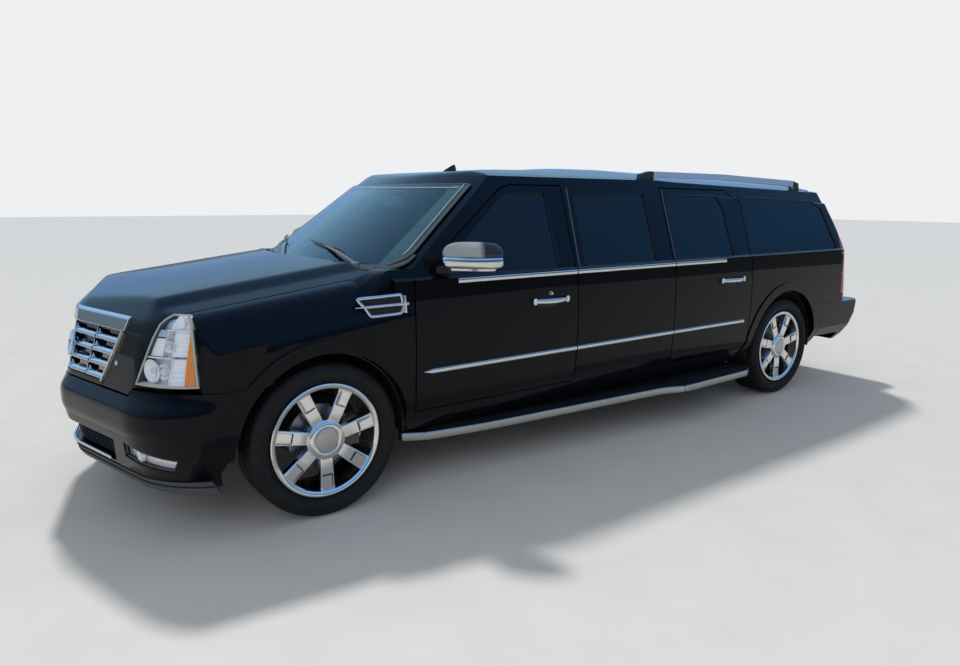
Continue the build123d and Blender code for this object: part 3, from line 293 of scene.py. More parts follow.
def bright_plate(name, tint, rough, pitting=0.02):
    """Polished plating with a faint haze and water-spot variation."""
    made = Finish(name, Metallic=1.0)
    haze = made.noise(24.0, 5.0)
    return made.set(
        Base_Color=made.mix(haze, tint, tuple(c * 0.9 for c in tint)),
        Roughness=rough + haze * 0.06,
        Normal=made.bump(made.noise(180.0, 3.0), pitting, 0.001),
    )


def brushed(name, tint, rough, along):
    """Satin metal with fine streaks along one axis."""
    made = Finish(name, Metallic=1.0)
    streak = made.noise(1.0, 4.0, stretch=tuple(2.0 if axis == along else 240.0 for axis in range(3)))
    return made.set(
        Base_Color=made.mix(streak, tuple(c * 0.82 for c in tint), tint),
        Roughness=rough + streak * 0.18,
        Normal=made.bump(streak, 0.08, 0.001),
    )


def grained_plastic(name, low, high, rough, scale=420.0, strength=0.35):
    """Moulded plastic with a leather-like grain and mild wear patches."""
    made = Finish(name)
    wear = made.noise(5.0, 4.0)
    return made.set(
        Base_Color=made.mix(wear, low, high),
        Roughness=rough + wear * 0.15,
        Normal=made.bump(made.pebbles(scale), strength, 0.0006),
    )


def tyre_rubber():
    """Dusty dark rubber with a soft sheen and a fine grain."""
    made = Finish("tyre_rubber", Specular_IOR_Level=0.22)
    dust = made.noise(16.0, 6.0)
    return made.set(
        Base_Color=made.mix(dust, (0.006, 0.006, 0.0065), (0.020, 0.019, 0.018)),
        Roughness=0.50 + dust * 0.25,
        Normal=made.bump(made.noise(520.0, 3.0), 0.25, 0.0008),
    )


def window_glass():
    """Dark glass: a tinted see-through part under a dielectric skin, with faint smears."""
    made = Finish("privacy_glass", Base_Color=(0.004, 0.006, 0.009), IOR=1.5)
    smear = made.noise(6.0, 4.0)
    made.set(Roughness=0.008 + smear * 0.02)
    return made.over_clear(0.70 + smear * 0.02, (0.16, 0.19, 0.22))


def screen_glass():
    """Clear glass: a mirror skin whose share rises at grazing view, over a tinted see-through part."""
    made = Finish("screen_glass", Base_Color=(0.92, 0.96, 1.0), Metallic=1.0)
    smear = made.noise(5.0, 5.0)
    made.set(Roughness=0.01 + smear * 0.03)
    return made.over_clear((made.grazing() + 0.045 + smear * 0.02).at_most(1.0), (0.80, 0.92, 0.89))


def lamp_glass():
    """Clear moulded lens with shallow ribs: a thin mirror skin over a see-through part."""
    made = Finish("clear_lens", Base_Color=(0.95, 0.97, 1.0), Metallic=1.0)
    ribs = made.noise(60.0, 1.0, stretch=(1, 1, 0.15))
    made.set(Normal=made.bump(ribs, 0.04, 0.002), Roughness=0.02 + ribs * 0.02)
    return made.over_clear(made.grazing() * 0.9 + 0.045, (0.95, 0.965, 0.975))


def coloured_lens(name, deep, light, ribs=180.0):
    """Moulded coloured lens with fine ribs both ways over a lighter core."""
    made = Finish(name, Coat_Weight=1.0, Coat_Roughness=0.03, Roughness=0.18)
    across, along, height = made.split(made.place())
    wave = (along * ribs * 6.283).sine() * (height * ribs * 6.283).sine()
    return made.set(
        Base_Color=made.mix(made.noise(12.0, 3.0), deep, light),
        Normal=made.bump(wave, 0.35, 0.002),
    )


def seat_leather():
    """Dark leather: pebbled grain, soft creases and polished high spots."""
    made = Finish("seat_leather", Specular_IOR_Level=0.4)
    crease = made.noise(16.0, 6.0)
    return made.set(
        Base_Color=made.mix(crease, (0.030, 0.026, 0.022), (0.075, 0.064, 0.054)),
        Roughness=0.38 + crease * 0.25,
        Normal=made.bump(made.pebbles(260.0) * 0.6 + crease * 0.6, 0.5, 0.0012),
    )


def carpet():
    """Cut pile in charcoal."""
    made = Finish("carpet", Sheen_Weight=0.3)
    pile = made.noise(700.0, 4.0)
    return made.set(
        Base_Color=made.mix(pile, (0.012, 0.012, 0.013), (0.055, 0.053, 0.050)),
        Roughness=0.9,
        Normal=made.bump(pile, 0.9, 0.004),
    )


def radiator_mesh():
    """Dark fins in a fine upright pitch."""
    made = Finish("radiator_fins", Metallic=0.6)
    fins = (made.split(made.place())[1] * 900.0).sine() * 0.5 + 0.5
    return made.set(
        Base_Color=made.mix(fins, (0.006, 0.006, 0.006), (0.06, 0.06, 0.062)),
        Roughness=0.45 + fins * 0.2,
        Normal=made.bump(fins, 0.8, 0.003),
    )


PAINT = gloss_paint()
UNDERBODY = satin_paint("underbody_coat", (0.012, 0.012, 0.013), (0.035, 0.034, 0.032), 0.55)
CAST = satin_paint("cast_iron", (0.05, 0.045, 0.04), (0.16, 0.13, 0.11), 0.55)
PLATE_WHITE = satin_paint("plate_white", (0.52, 0.53, 0.53), (0.60, 0.61, 0.60), 0.30)
CHROME = bright_plate("trim_chrome", (0.80, 0.81, 0.82), 0.04)
WHEEL_CHROME = bright_plate("wheel_chrome", (0.93, 0.92, 0.90), 0.12)
DULL_NICKEL = bright_plate("dull_nickel", (0.60, 0.60, 0.60), 0.32, 0.2)
SILVER = bright_plate("lamp_silver", (0.84, 0.85, 0.86), 0.10)
MIRROR_GLASS = bright_plate("mirror_glass", (0.86, 0.90, 0.92), 0.01, 0.0)
STEEL = brushed("exhaust_steel", (0.42, 0.40, 0.37), 0.35, 0)
DISC_STEEL = brushed("brake_steel", (0.36, 0.35, 0.34), 0.28, 1)
BOARD_METAL = brushed("board_metal", (0.66, 0.65, 0.62), 0.25, 0)
RUBBER = tyre_rubber()
SEAL = grained_plastic("window_seal", (0.008, 0.008, 0.009), (0.02, 0.02, 0.021), 0.5)
BLACK = grained_plastic("black_plastic", (0.006, 0.006, 0.007), (0.018, 0.018, 0.020), 0.42)
GREY_TRIM = grained_plastic("grey_plastic", (0.05, 0.052, 0.055), (0.085, 0.088, 0.092), 0.45)
CABIN = grained_plastic("cabin_plastic", (0.06, 0.055, 0.05), (0.12, 0.11, 0.10), 0.55)
WIPER_GREY = grained_plastic("wiper_coat", (0.12, 0.125, 0.135), (0.20, 0.205, 0.215), 0.4)
# Grey-green over the black windshield pillars: painted sky reflection
PILLAR_SKY_SHEEN = grained_plastic("pillar_painted_sky_sheen", (0.055, 0.075, 0.070), (0.11, 0.14, 0.13), 0.6)
# Pale green rod on the windshield's edges: painted reflection
GLASS_EDGE_GLINT = grained_plastic("painted_glass_edge_glint", (0.45, 0.55, 0.48), (0.62, 0.72, 0.65), 0.3)
LAMP_EDGE = grained_plastic("lamp_edge", (0.34, 0.33, 0.30), (0.46, 0.45, 0.42), 0.4)
HEADCLOTH = grained_plastic("headliner_cloth", (0.30, 0.29, 0.27), (0.42, 0.41, 0.38), 0.8, 900.0, 0.2)
LEATHER = seat_leather()
CARPET = carpet()
FINS = radiator_mesh()
SCREEN_GLASS = screen_glass()
DARK_GLASS = window_glass()
MIRROR_CAP = mirror_cap()
RAIL = rail_sky_tint()
LAMP_SHELL = lamp_shell()
LENS = lamp_glass()
BLUE_CELL = coloured_lens("blue_cell", (0.30, 0.42, 0.55), (0.50, 0.62, 0.72), 120.0)
AMBER = coloured_lens("amber_lens", (0.62, 0.16, 0.01), (0.95, 0.36, 0.03))
RED = coloured_lens("red_lens", (0.20, 0.002, 0.003), (0.50, 0.01, 0.012))
PALE_LENS = coloured_lens("reverse_lens", (0.55, 0.55, 0.56), (0.78, 0.78, 0.80))


# Mesh building

class Form:
    """Points and faces of one piece, gathered from several shapes."""

    def __init__(self, *shapes):
        self.points = []
        self.faces = []
        self.count = 0
        for shape in shapes:
            self.add(*shape)

    def add(self, points, faces):
        points = np.asarray(points, float).reshape(-1, 3)
        self.points.append(points)
        self.faces.extend(tuple(int(i) + self.count for i in face) for face in faces)
        self.count += len(points)

    def mirrored(self):
        """The same form on the other side of the middle plane."""
        return Form((np.vstack(self.points) * (1, -1, 1), [face[::-1] for face in self.faces]))

    def whole(self):
        """This form together with its mirror image."""
        other = self.mirrored()
        self.add(np.vstack(other.points), other.faces)
        return self


def circle(count):
    """Even angles round a full turn."""
    return np.arange(count) * 2 * math.pi / count


def spots(x, y, z):
    """Points from three coordinates, each a number or an array."""
    return np.stack(np.broadcast_arrays(*(np.asarray(value, float) for value in (x, y, z))), axis=-1)


def grid_faces(rows, cols, wrap_rows=False, wrap_cols=False):
    """Quads of a rows by cols grid of points, closed on itself where asked."""
    i = np.arange(rows if wrap_rows else rows - 1)[:, None]
    j = np.arange(cols if wrap_cols else cols - 1)[None, :]
    low, high = i * cols, ((i + 1) % rows) * cols
    side = (j + 1) % cols
    return np.stack([low + j, low + side, high + side, high + j], axis=-1).reshape(-1, 4)


def capped(rows):
    """Closed skin over rows of points, each row a loop, with flat ends."""
    rows = np.asarray(rows, float)
    count, size = rows.shape[:2]
    last = (count - 1) * size
    ends = [tuple(range(size))[::-1], tuple(range(last, last + size))]
    return rows.reshape(-1, 3), [*grid_faces(count, size, wrap_cols=True), *ends]


def edge_of(grid):
    """The outline of a grid of points or numbers, in order round it."""
    return np.concatenate([grid[0, :-1], grid[:-1, -1], grid[-1, :0:-1], grid[:0:-1, 0]])


def closed_shell(front, back):
    """Two matching grids joined round their edge into one closed skin."""
    rows, cols = front.shape[:2]
    size = rows * cols
    rim = edge_of(np.arange(size).reshape(rows, cols))
    sides = [(b, a, a + size, b + size) for a, b in zip(rim, np.roll(rim, -1))]
    faces = [*grid_faces(rows, cols), *(grid_faces(rows, cols)[:, ::-1] + size), *sides]
    return np.vstack([front.reshape(-1, 3), back.reshape(-1, 3)]), faces


def quad_grid(corners, across, up):
    """The two coordinates of an even grid over a four-sided outline."""
    first, second, third, fourth = np.asarray(corners, float)
    u = np.linspace(0, 1, across)[None, :, None]
    v = np.linspace(0, 1, up)[:, None, None]
    grid = (first * (1 - u) + second * u) * (1 - v) + (fourth * (1 - u) + third * u) * v
    return grid[..., 0], grid[..., 1]


def lathe(profile, centre, axis=1, segments=96):
    """Surface of revolution: profile rows are (place along the axis, radius), turned about the axis."""
    profile = np.asarray(profile, float)
    angle = circle(segments)
    points = np.zeros((len(profile), segments, 3))
    one, two = [k for k in range(3) if k != axis]
    points[..., axis] = profile[:, 0, None]
    points[..., one] = profile[:, 1, None] * np.cos(angle)
    points[..., two] = profile[:, 1, None] * np.sin(angle)
    return (points + np.asarray(centre)).reshape(-1, 3), grid_faces(len(profile), segments, wrap_cols=True)


def round_section(width, height, corner=0.3, count=16):
    """Superellipse section of a given width and height; a small corner value is squarer."""
    axes = np.stack([np.cos(circle(count)), np.sin(circle(count))], axis=1)
    return np.sign(axes) * np.abs(axes) ** corner * (width / 2, height / 2)


def sweep(path, section, up=(0, 0, 1), closed=False, scale=1.0):
    """A section of (side, up) rows carried along a path, square to it, with flat ends."""
    path = np.asarray(path, float)
    run = np.roll(path, -1, axis=0) - np.roll(path, 1, axis=0) if closed else np.gradient(path, axis=0)
    run /= np.linalg.norm(run, axis=1)[:, None]
    across = np.cross(np.asarray(up, float), run)
    across /= np.linalg.norm(across, axis=1)[:, None]
    above = np.cross(run, across)
    size = np.broadcast_to(np.asarray(scale, float), len(path))[:, None, None]
    points = path[:, None] + (section[:, :1] * across[:, None] + section[:, 1:] * above[:, None]) * size
    if closed:
        return points.reshape(-1, 3), grid_faces(len(path), len(section), True, True)
    return capped(points)


def rod(path, width, height, corner=0.3, count=16, **course):
    """A rounded section of a width and height carried along a path."""
    return sweep(path, round_section(width, height, corner, count), **course)


def slab(outline, shift):
    """Prism: a flat outline of points and the same outline moved by shift."""
    outline = np.asarray(outline, float)
    return capped([outline, outline + np.asarray(shift, float)])


def brick(low, high):
    """Six-sided block between two corners."""
    outline = [(low[0], low[1]), (high[0], low[1]), (high[0], high[1]), (low[0], high[1])]
    return slab([(x, y, low[2]) for x, y in outline], (0, 0, high[2] - low[2]))


def smooth_loop(corners, count, closed=True):
    """Points of a Catmull-Rom curve through the corners, a given number on each run."""
    corners = np.asarray(corners, float)
    size = len(corners)
    runs = size if closed else size - 1
    share = (np.arange(runs * count) % count / count)[:, None]
    index = np.arange(runs * count)[:, None] // count + np.arange(-1, 3)
    index = index % size if closed else np.clip(index, 0, size - 1)
    before, here, there, after = np.moveaxis(corners[index], 1, 0)
    points = 0.5 * (
        2 * here
        + (there - before) * share
        + (2 * before - 5 * here + 4 * there - after) * share**2
        + (3 * here - before - 3 * there + after) * share**3
    )
    return points if closed else np.vstack([points, corners[-1]])


def tidy_mesh(mesh, smooth, dissolve=0.0):
    """Merged doubles, no zero-size faces, outward faces, smooth below an angle."""
    work = bmesh.new()
    work.from_mesh(mesh)
    bmesh.ops.remove_doubles(work, verts=work.verts, dist=2e-6)
    bmesh.ops.dissolve_degenerate(work, edges=work.edges, dist=1e-6)
    if dissolve:
        bmesh.ops.dissolve_limit(
            work, angle_limit=math.radians(dissolve), verts=work.verts, edges=work.edges
        )
    bmesh.ops.recalc_face_normals(work, faces=work.faces)
    work.to_mesh(mesh)
    work.free()
    mesh.shade_smooth()
    mesh.set_sharp_from_angle(angle=math.radians(smooth))


def mounted(name, mesh, finish, body, bevel, segments, replaces):
    """An object from a mesh: its material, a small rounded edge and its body."""
    mesh.materials.append(finish)
    made = bpy.data.objects.new(name, mesh)
    bpy.context.scene.collection.objects.link(made)
    if bevel:
        edge = made.modifiers.new("edge", "BEVEL")
        edge.width = bevel
        edge.segments = segments
        edge.limit_method = "ANGLE"
        edge.angle_limit = math.radians(32)
        edge.use_clamp_overlap = True
        edge.harden_normals = True
    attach(made, body)
    if replaces:
        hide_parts(*replaces)
    return made


def piece(name, form, finish, body, smooth=35.0, bevel=0.0, segments=2, replaces=()):
    """A finished mesh object from a form, riding on its body."""
    mesh = bpy.data.meshes.new(name)
    mesh.from_pydata(np.vstack(form.points), [], form.faces)
    tidy_mesh(mesh, smooth)
    return mounted(name, mesh, finish, body, bevel, segments, replaces)


def pair(name, form, finish, body, smooth=35.0, bevel=0.0, segments=2, replaces=None):
    """The left piece and its mirror image; names of bodies and replaced nodes get the side's name too."""
    for side, shape in (("left", form), ("right", form.mirrored())):
        rides_on = body if body == "root" else f"{body}_{side}"
        stands_for = (f"{replaces}_{side}",) if replaces else ()
        piece(f"{name}_{side}", shape, finish, rides_on, smooth, bevel, segments, stands_for)


def panel(node, finish, body, smooth=24.0, bevel=0.0, segments=2):
    """A smooth-shaded copy of a frame node that stands for it, with large faces kept flat to their edges."""
    source = nodes[node]
    mesh = source.data.copy()
    mesh.materials.clear()
    mesh.transform(source.matrix_world)
    tidy_mesh(mesh, smooth, dissolve=0.4)
    made = mounted(node + "_skin", mesh, finish, body, bevel, segments, (node,))
    weighted = made.modifiers.new("shading", "WEIGHTED_NORMAL")
    weighted.keep_sharp = True
    weighted.weight = 50


# Seats: soft pads on hard frames, made first while the scene is light

VOXEL = 0.013
PRESSURE = 4.0
LAST_FRAME = 20
CHANNEL_HALF = 0.007
CHANNEL_DEPTH = 0.006


def rounded_block(centre, size, corner=0.42, rows=22, cols=30, lean=0.0, crown=0.0):
    """Closed pillow form: a superellipsoid with small powers, leant back about Y by an angle."""
    up = np.linspace(-math.pi / 2, math.pi / 2, rows)[:, None]
    turn = circle(cols)[None, :]

    def power(value):
        return np.sign(value) * np.abs(value) ** corner

    x = power(np.cos(up)) * power(np.cos(turn)) * size[0] / 2
    y = power(np.cos(up)) * power(np.sin(turn)) * size[1] / 2
    z = power(np.sin(up)) * size[2] / 2
    z = z * (1 + crown * (1 - (2 * x / size[0]) ** 2) * (1 - (2 * y / size[1]) ** 2))
    c, s = math.cos(lean), math.sin(lean)
    return spots(x * c - z * s, y, x * s + z * c) + np.asarray(centre), grid_faces(rows, cols, wrap_cols=True)


def evaluated(made):
    """A new mesh of the object as its modifiers leave it, without them, and its points."""
    mesh = bpy.data.meshes.new_from_object(made.evaluated_get(bpy.context.evaluated_depsgraph_get()))
    points = np.empty(len(mesh.vertices) * 3)
    mesh.vertices.foreach_get("co", points)
    made.modifiers.clear()
    return mesh, points.reshape(-1, 3)


def inflate(made, cap):
    """Remeshed pad blown up by cloth under pressure, each point moved at most by the cap."""
    remesh = made.modifiers.new("remesh", "REMESH")
    remesh.mode = "VOXEL"
    remesh.voxel_size = VOXEL
    made.data, rest = evaluated(made)
    cloth = made.modifiers.new("cloth", "CLOTH")
    cloth.settings.use_pressure = True
    cloth.settings.uniform_pressure_force = PRESSURE
    cloth.settings.effector_weights.gravity = 0.0
    cloth.settings.quality = 4
    cloth.point_cache.frame_start = 1
    cloth.point_cache.frame_end = LAST_FRAME
    for step in range(1, LAST_FRAME + 1):
        bpy.context.scene.frame_set(step)
    _, moved = evaluated(made)
    bpy.context.scene.frame_set(1)
    step = moved - rest
    length = np.linalg.norm(step, axis=1)[:, None]
    return rest + step * np.minimum(1.0, cap / np.maximum(length, 1e-9))


def sewn(points, channels, normal):
    """Points pushed in against a normal where they lie near a channel's place across the car."""
    near = np.zeros(len(points))
    for place in channels:
        near = np.maximum(near, np.exp(-((points[:, 1] - place) / CHANNEL_HALF) ** 2))
    return points - near[:, None] * CHANNEL_DEPTH * np.asarray(normal, float)


def padded(name, form, cap, channels=(), normal=(0, 0, 1), replaces=()):
    """A soft pad: its form, the cloth pass, sewn channels and one subdivision."""
    made = piece(name, form, LEATHER, "root", 80, replaces=replaces)
    points = sewn(inflate(made, cap), channels, normal)
    made.data.vertices.foreach_set("co", points.ravel())
    made.data.update()
    made.data.shade_smooth()
    soft = made.modifiers.new("soft", "SUBSURF")
    soft.levels = 1
    soft.render_levels = 1


front_pads, front_backs, head_pads, front_shells, head_posts = (Form() for _ in range(5))
for y in (0.420, -0.420):
    front_pads.add(*rounded_block((0.935, y, 0.688), (0.445, 0.455, 0.105), crown=0.10))
    front_backs.add(*rounded_block((0.640, y, 0.985), (0.115, 0.455, 0.470), lean=0.17))
    head_pads.add(*rounded_block((0.552, y, 1.298), (0.085, 0.270, 0.120), corner=0.5, lean=0.17))
    front_shells.add(*rounded_block((0.915, y, 0.555), (0.500, 0.490, 0.220), corner=0.22))
    front_shells.add(*rounded_block((0.575, y, 0.955), (0.050, 0.490, 0.560), corner=0.3, lean=0.17))
    for post_y in (y - 0.055, y + 0.055):
        post = [(0.590, post_y, 1.19), (0.568, post_y, 1.29)]
        head_posts.add(*rod(post, 0.012, 0.012, 1.0, 10, up=(0, 1, 0)))
piece("front_seat_shells", front_shells, CABIN, "root", 50)
piece("head_posts", head_posts, CHROME, "root", 50)
front_channels = (0.28, 0.56, -0.28, -0.56)
padded("front_seat_pads", front_pads, 0.016, front_channels, replaces=("front_seats",))
padded("front_back_pads", front_backs, 0.014, front_channels, (0.985, 0, 0.17))
padded("head_pads", head_pads, 0.010)

lounge_pads, lounge_backs = Form(), Form()
for y in (-0.480, -0.055, 0.350):
    lounge_pads.add(*rounded_block((-0.895, y, 0.700), (0.295, 0.365, 0.110), crown=0.08))
    lounge_backs.add(*rounded_block((-1.130, y, 0.960), (0.095, 0.365, 0.300)))
for x in (-0.500, -0.105):
    lounge_pads.add(*rounded_block((x, -0.510, 0.700), (0.350, 0.330, 0.110), crown=0.08))
    lounge_backs.add(*rounded_block((x, -0.762, 0.960), (0.350, 0.085, 0.300)))
lounge_backs.add(*rounded_block((-0.895, -0.762, 0.960), (0.300, 0.085, 0.300)))
lounge_plan = [
    (-1.195, -0.815), (-1.195, 0.555), (-0.725, 0.555), (-0.725, -0.325), (0.115, -0.325), (0.115, -0.815),
]
lounge_base = Form(slab([(x, y, 0.443) for x, y in lounge_plan], (0, 0, 0.190)))
piece("lounge_base", lounge_base, CABIN, "root", 30, bevel=0.012, segments=3)
padded("lounge_pads", lounge_pads, 0.014, replaces=("lounge_seats",))
padded("lounge_back_pads", lounge_backs, 0.012)


# Body surfaces

def glass_y(z):
    """Half width of the leaning side glass at a height."""
    return GLASS_FOOT[0] - GLASS_LEAN * (z - GLASS_FOOT[1])


def side_y(z):
    """Half width at a height: a long arc up to the belt, then the leaning glass plane."""
    z = np.asarray(z, float)
    arc = -2.256 + np.sqrt(3.2593**2 - (z - 0.845) ** 2)
    shoulder = 0.985 - (z - 1.190) * 1.5
    return np.where(z < 1.190, arc, np.where(z < GLASS_FOOT[1], shoulder, glass_y(z)))


def nose_x(z):
    """Foremost reach of the front end at a height, between its levels."""
    return np.interp(z, *np.transpose(NOSE_LEVELS))


def nose_setback(wide):
    """How far the front end lies behind its reach at a half width."""
    apex = APEX_SETBACK - np.sqrt(np.maximum(APEX_RADIUS**2 - wide**2, 0))
    arc = CORNER_SETBACK - np.sqrt(np.maximum(CORNER_RADIUS**2 - (wide - CORNER_Y) ** 2, 0))
    return np.where(wide < APEX_HALF, apex, np.where(wide < CORNER_START, V_SLOPE * wide, arc))


def front_point(y, z, out=0.0):
    """Point of the front end at (y, z), moved outwards: shallow V, round apex and corner arc."""
    y, z = np.broadcast_arrays(np.asarray(y, float), np.asarray(z, float))
    wide = np.abs(y)
    x = nose_x(z) - nose_setback(wide)
    slope = V_SLOPE / math.hypot(1, V_SLOPE)
    turn = np.where(wide < CORNER_START, slope, (wide - CORNER_Y) / CORNER_RADIUS)
    ahead = np.sqrt(np.maximum(1 - turn**2, 0))
    return spots(x + out * ahead, y + out * turn * np.sign(y), z)


def side_strip(start, stop, low, high, proud, tip=0.0):
    """Bright strip on the body side: a D section from x = start to x = stop between two heights."""
    middle = (low + high) / 2
    x = np.linspace(start, stop, 24)
    scale = np.clip(np.abs(x - start) / tip, 0.0, 1.0) ** 0.5 * 0.9 + 0.1 if tip else 1.0
    return Form(rod(spots(x, side_y(middle), middle), proud * 2, high - low, 0.55, 14, scale=scale))


# Painted panels and glass, as smooth copies of their nodes
for node in (
    "front_panels", "front_fenders", "body_side_left", "body_side_right", "front_bumper", "liftgate",
):
    carrier = "liftgate" if node == "liftgate" else "root"
    panel(node, PAINT, carrier, smooth=44.0, bevel=0.009, segments=4)
panel("rear_bumper", PAINT, "root", smooth=24.0, bevel=0.012, segments=5)
for side in SIDES:
    for end in ("front", "rear"):
        panel(f"{end}_door_{side}", PAINT, f"{end}_door_{side}", smooth=30.0, bevel=0.003)
        panel(f"{end}_door_glass_{side}", DARK_GLASS, f"{end}_door_{side}")
panel("fixed_side_glass", DARK_GLASS, "root")
panel("liftgate_glass", DARK_GLASS, "liftgate")

# Frame and running gear keep their own nodes' shapes
for names, finish, slot in (
    (("floor_pan",), CARPET, "interior_plastic"),
    (("firewall", "frame_rails", "crossmembers", "radiator_support"), UNDERBODY, "underbody_paint"),
    (("front_suspension", "rear_axle", "driveshaft", "tow_hitch"), UNDERBODY, "underbody_paint"),
    (("engine",), CAST, "cast_metal"),
    (("fuel_tank",), BLACK, "black_plastic"),
    (("cowl_panel",), GREY_TRIM, "black_plastic"),
    (("exhaust",), STEEL, "exhaust_steel"),
    (("dashboard",), CABIN, "interior_plastic"),
    (("roof_rails",), RAIL, "alloy"),
    (("running_boards",), BLACK, "alloy"),
):
    for node in names:
        panel(node, finish, "root", bevel=0.002)
for side in SIDES:
    panel(f"knuckle_{side}", CAST, f"knuckle_{side}", bevel=0.002)
panel("headlamps", LENS, "root")
panel("tail_lamps", RED, "root", bevel=0.003)
panel("fog_lamps", LENS, "root")

# Engine bay: a ribbed cover with two rounded covers beside it, on top of the engine
low, high = (np.asarray(corner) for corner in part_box("engine"))
middle, span, top = 0.5 * (low[0] + high[0]), high - low, high[2]
cover = Form(rounded_block((middle, 0.0, top + 0.004), (span[0] * 0.74, span[1] * 0.34, 0.040), corner=0.22))
for x in middle + np.linspace(-0.28, 0.28, 7) * span[0]:
    cover.add(*rod([(x, share * span[1], top + 0.0225) for share in (-0.14, 0.14)], 0.012, 0.010, 0.8, 10))
piece("engine_cover", cover, BLACK, "root", 50)
case_size = (span[0] * 0.80, span[1] * 0.20, 0.034)
cases = Form(rounded_block((middle, span[1] * 0.34, top + 0.001), case_size, corner=0.3)).whole()
piece("engine_cases", cases, CAST, "root", 50)

# Bright strips of the body side, one at the belt and one low on the doors
for label, carrier, belt, low_line, tip in (
    ("front", "front_door", (1.400, DOOR_MIDDLE_FRONT + SEAM), (1.630, DOOR_MIDDLE_FRONT + SEAM), 0.02),
    ("middle", "root", *[(DOOR_MIDDLE_FRONT - SEAM, DOOR_MIDDLE_REAR + SEAM)] * 2, 0.0),
    ("rear", "rear_door", (DOOR_MIDDLE_REAR - SEAM, -1.060), (DOOR_MIDDLE_REAR - SEAM, -1.320), 0.0),
):
    pair(f"belt_strip_{label}", side_strip(*belt, 1.160, 1.186, 0.006), CHROME, carrier)
    strip = side_strip(*low_line, 0.676, 0.704, 0.008, tip)
    pair(f"door_strip_{label}", strip, CHROME, carrier)


# Wheels and tyres: profiles are (y from the wheel's middle, radius)

SPOKES = 7
RIM_LOOP = [
    (-0.119, 0.298), (-0.108, 0.298), (-0.104, 0.290), (-0.100, 0.286), (-0.084, 0.285), (-0.078, 0.280),
    (-0.062, 0.264), (0.036, 0.264), (0.070, 0.284), (0.078, 0.286), (0.100, 0.286), (0.105, 0.290),
    (0.108, 0.298), (0.117, 0.2985), (0.1225, 0.2965), (0.1245, 0.292), (0.1235, 0.283), (0.1195, 0.2735),
    (0.116, 0.2705), (0.106, 0.2695), (0.070, 0.2680), (0.032, 0.252), (-0.066, 0.252), (-0.086, 0.272),
    (-0.119, 0.275),
]
TYRE_WALL = [
    (0.105, 0.2863), (0.105, 0.2960), (0.111, 0.3020), (0.1165, 0.3065), (0.1150, 0.3110), (0.1235, 0.3180),
    (0.1320, 0.3290), (0.1385, 0.3400), (0.1415, 0.3500), (0.1405, 0.3600), (0.1415, 0.3615),
    (0.1400, 0.3635), (0.1385, 0.3740), (0.1370, 0.3755), (0.1350, 0.3790), (0.1290, 0.3885),
    (0.1210, 0.3960), (0.1110, 0.4000),
]
TYRE_INNER = [
    (-0.086, 0.2863), (-0.098, 0.305), (-0.122, 0.345), (-0.108, 0.384), (0, 0.392), (0.108, 0.384),
    (0.122, 0.345), (0.098, 0.305), (0.086, 0.2863),
]
HUB_PROFILE = [
    (0.060, 0.0), (0.060, 0.100), (0.104, 0.105), (0.108, 0.104), (0.1095, 0.1005), (0.107, 0.0985),
    (0.107, 0.0960), (0.1135, 0.0945), (0.1175, 0.0905), (0.1200, 0.0840), (0.1210, 0.0760), (0.1205, 0.0690),
    (0.1185, 0.0645), (0.1150, 0.0625), (0.1150, 0.0),
]
CAP_PROFILE = [
    (0.112, 0.0), (0.112, 0.0618), (0.1168, 0.0615), (0.1180, 0.0600), (0.1184, 0.0570), (0.1190, 0.0),
]
DISC_PROFILE = [(0.002, 0.0), (0.002, 0.172), (0.026, 0.172), (0.026, 0.095), (0.062, 0.090), (0.062, 0.0)]
# Spoke stations: (distance from the axle, half width, place of the outer face)
SPOKE_STATIONS = [
    (0.080, 0.034, 0.104), (0.110, 0.0345, 0.108), (0.150, 0.0355, 0.110), (0.181, 0.037, 0.110),
    (0.200, 0.0375, 0.110), (0.240, 0.0385, 0.111), (0.264, 0.0405, 0.113), (0.276, 0.0450, 0.115),
    (0.284, 0.0540, 0.114),
]
SPOKE_BACK = 0.074
SPOKE_CHAMFER = 0.004
GROOVE_HALF = 0.0055
GROOVE_DEPTH = 0.0075
TREAD_BLOCKS = 72
BLOCK_STEPS = 6


def tread_profile():
    """(y, radius) from the shoulder to the middle: a crowned band cut by straight grooves."""
    places = [(0.104, 0), (0.092, 0)]
    for middle, beside in ((0.070, 0.048), (0.026, 0.010)):
        brink, wall = 1.25 * GROOVE_HALF, GROOVE_HALF
        places += [(middle + brink, 0), (middle + wall, GROOVE_DEPTH), (middle - wall, GROOVE_DEPTH)]
        places += [(middle - brink, 0), (beside, 0)]
    return [(y, WHEEL_Z - 0.25 * y**2 - depth) for y, depth in [*places, (0.0, 0)]]


def tyre_form(x, side):
    """Tyre: profile turned about the axle; the tread is cut across by slanted sipes,
    and the shoulder by fine radial ridges, both as a drop in radius on a repeating angle."""
    half = TYRE_WALL + tread_profile()
    outline = half + [(-y, r) for y, r in half[-2::-1]]
    loop = np.array(outline + TYRE_INNER)
    angle = circle(TREAD_BLOCKS * BLOCK_STEPS)
    y = loop[:, :1]
    wide = np.abs(y)
    radius = np.tile(loop[:, 1:], len(angle))
    outer = (np.arange(len(loop)) < len(outline))[:, None]
    phase = angle * TREAD_BLOCKS / (2 * math.pi) + np.sign(y) * 0.25 + wide * 9.0
    tread = outer & (radius > 0.3985) & (wide > 0.034) & (wide < 0.112)
    radius -= np.where(tread & (phase % 1.0 < 0.17), 0.0055, 0.0)
    middle = outer & (wide < 0.020) & (radius > 0.40)
    radius -= np.where(middle & ((phase + 0.5) % 1.0 < 0.14), 0.004, 0.0)
    shoulder = outer & (radius > 0.378) & (radius < 0.397)
    radius -= np.where(shoulder & (phase * 3 % 1.0 < 0.5), 0.0012, 0.0)
    points = spots(radius * np.cos(angle), y, radius * np.sin(angle)) + (x, side * TRACK_HALF, WHEEL_Z)
    return Form((points, grid_faces(len(loop), len(angle), True, True)))


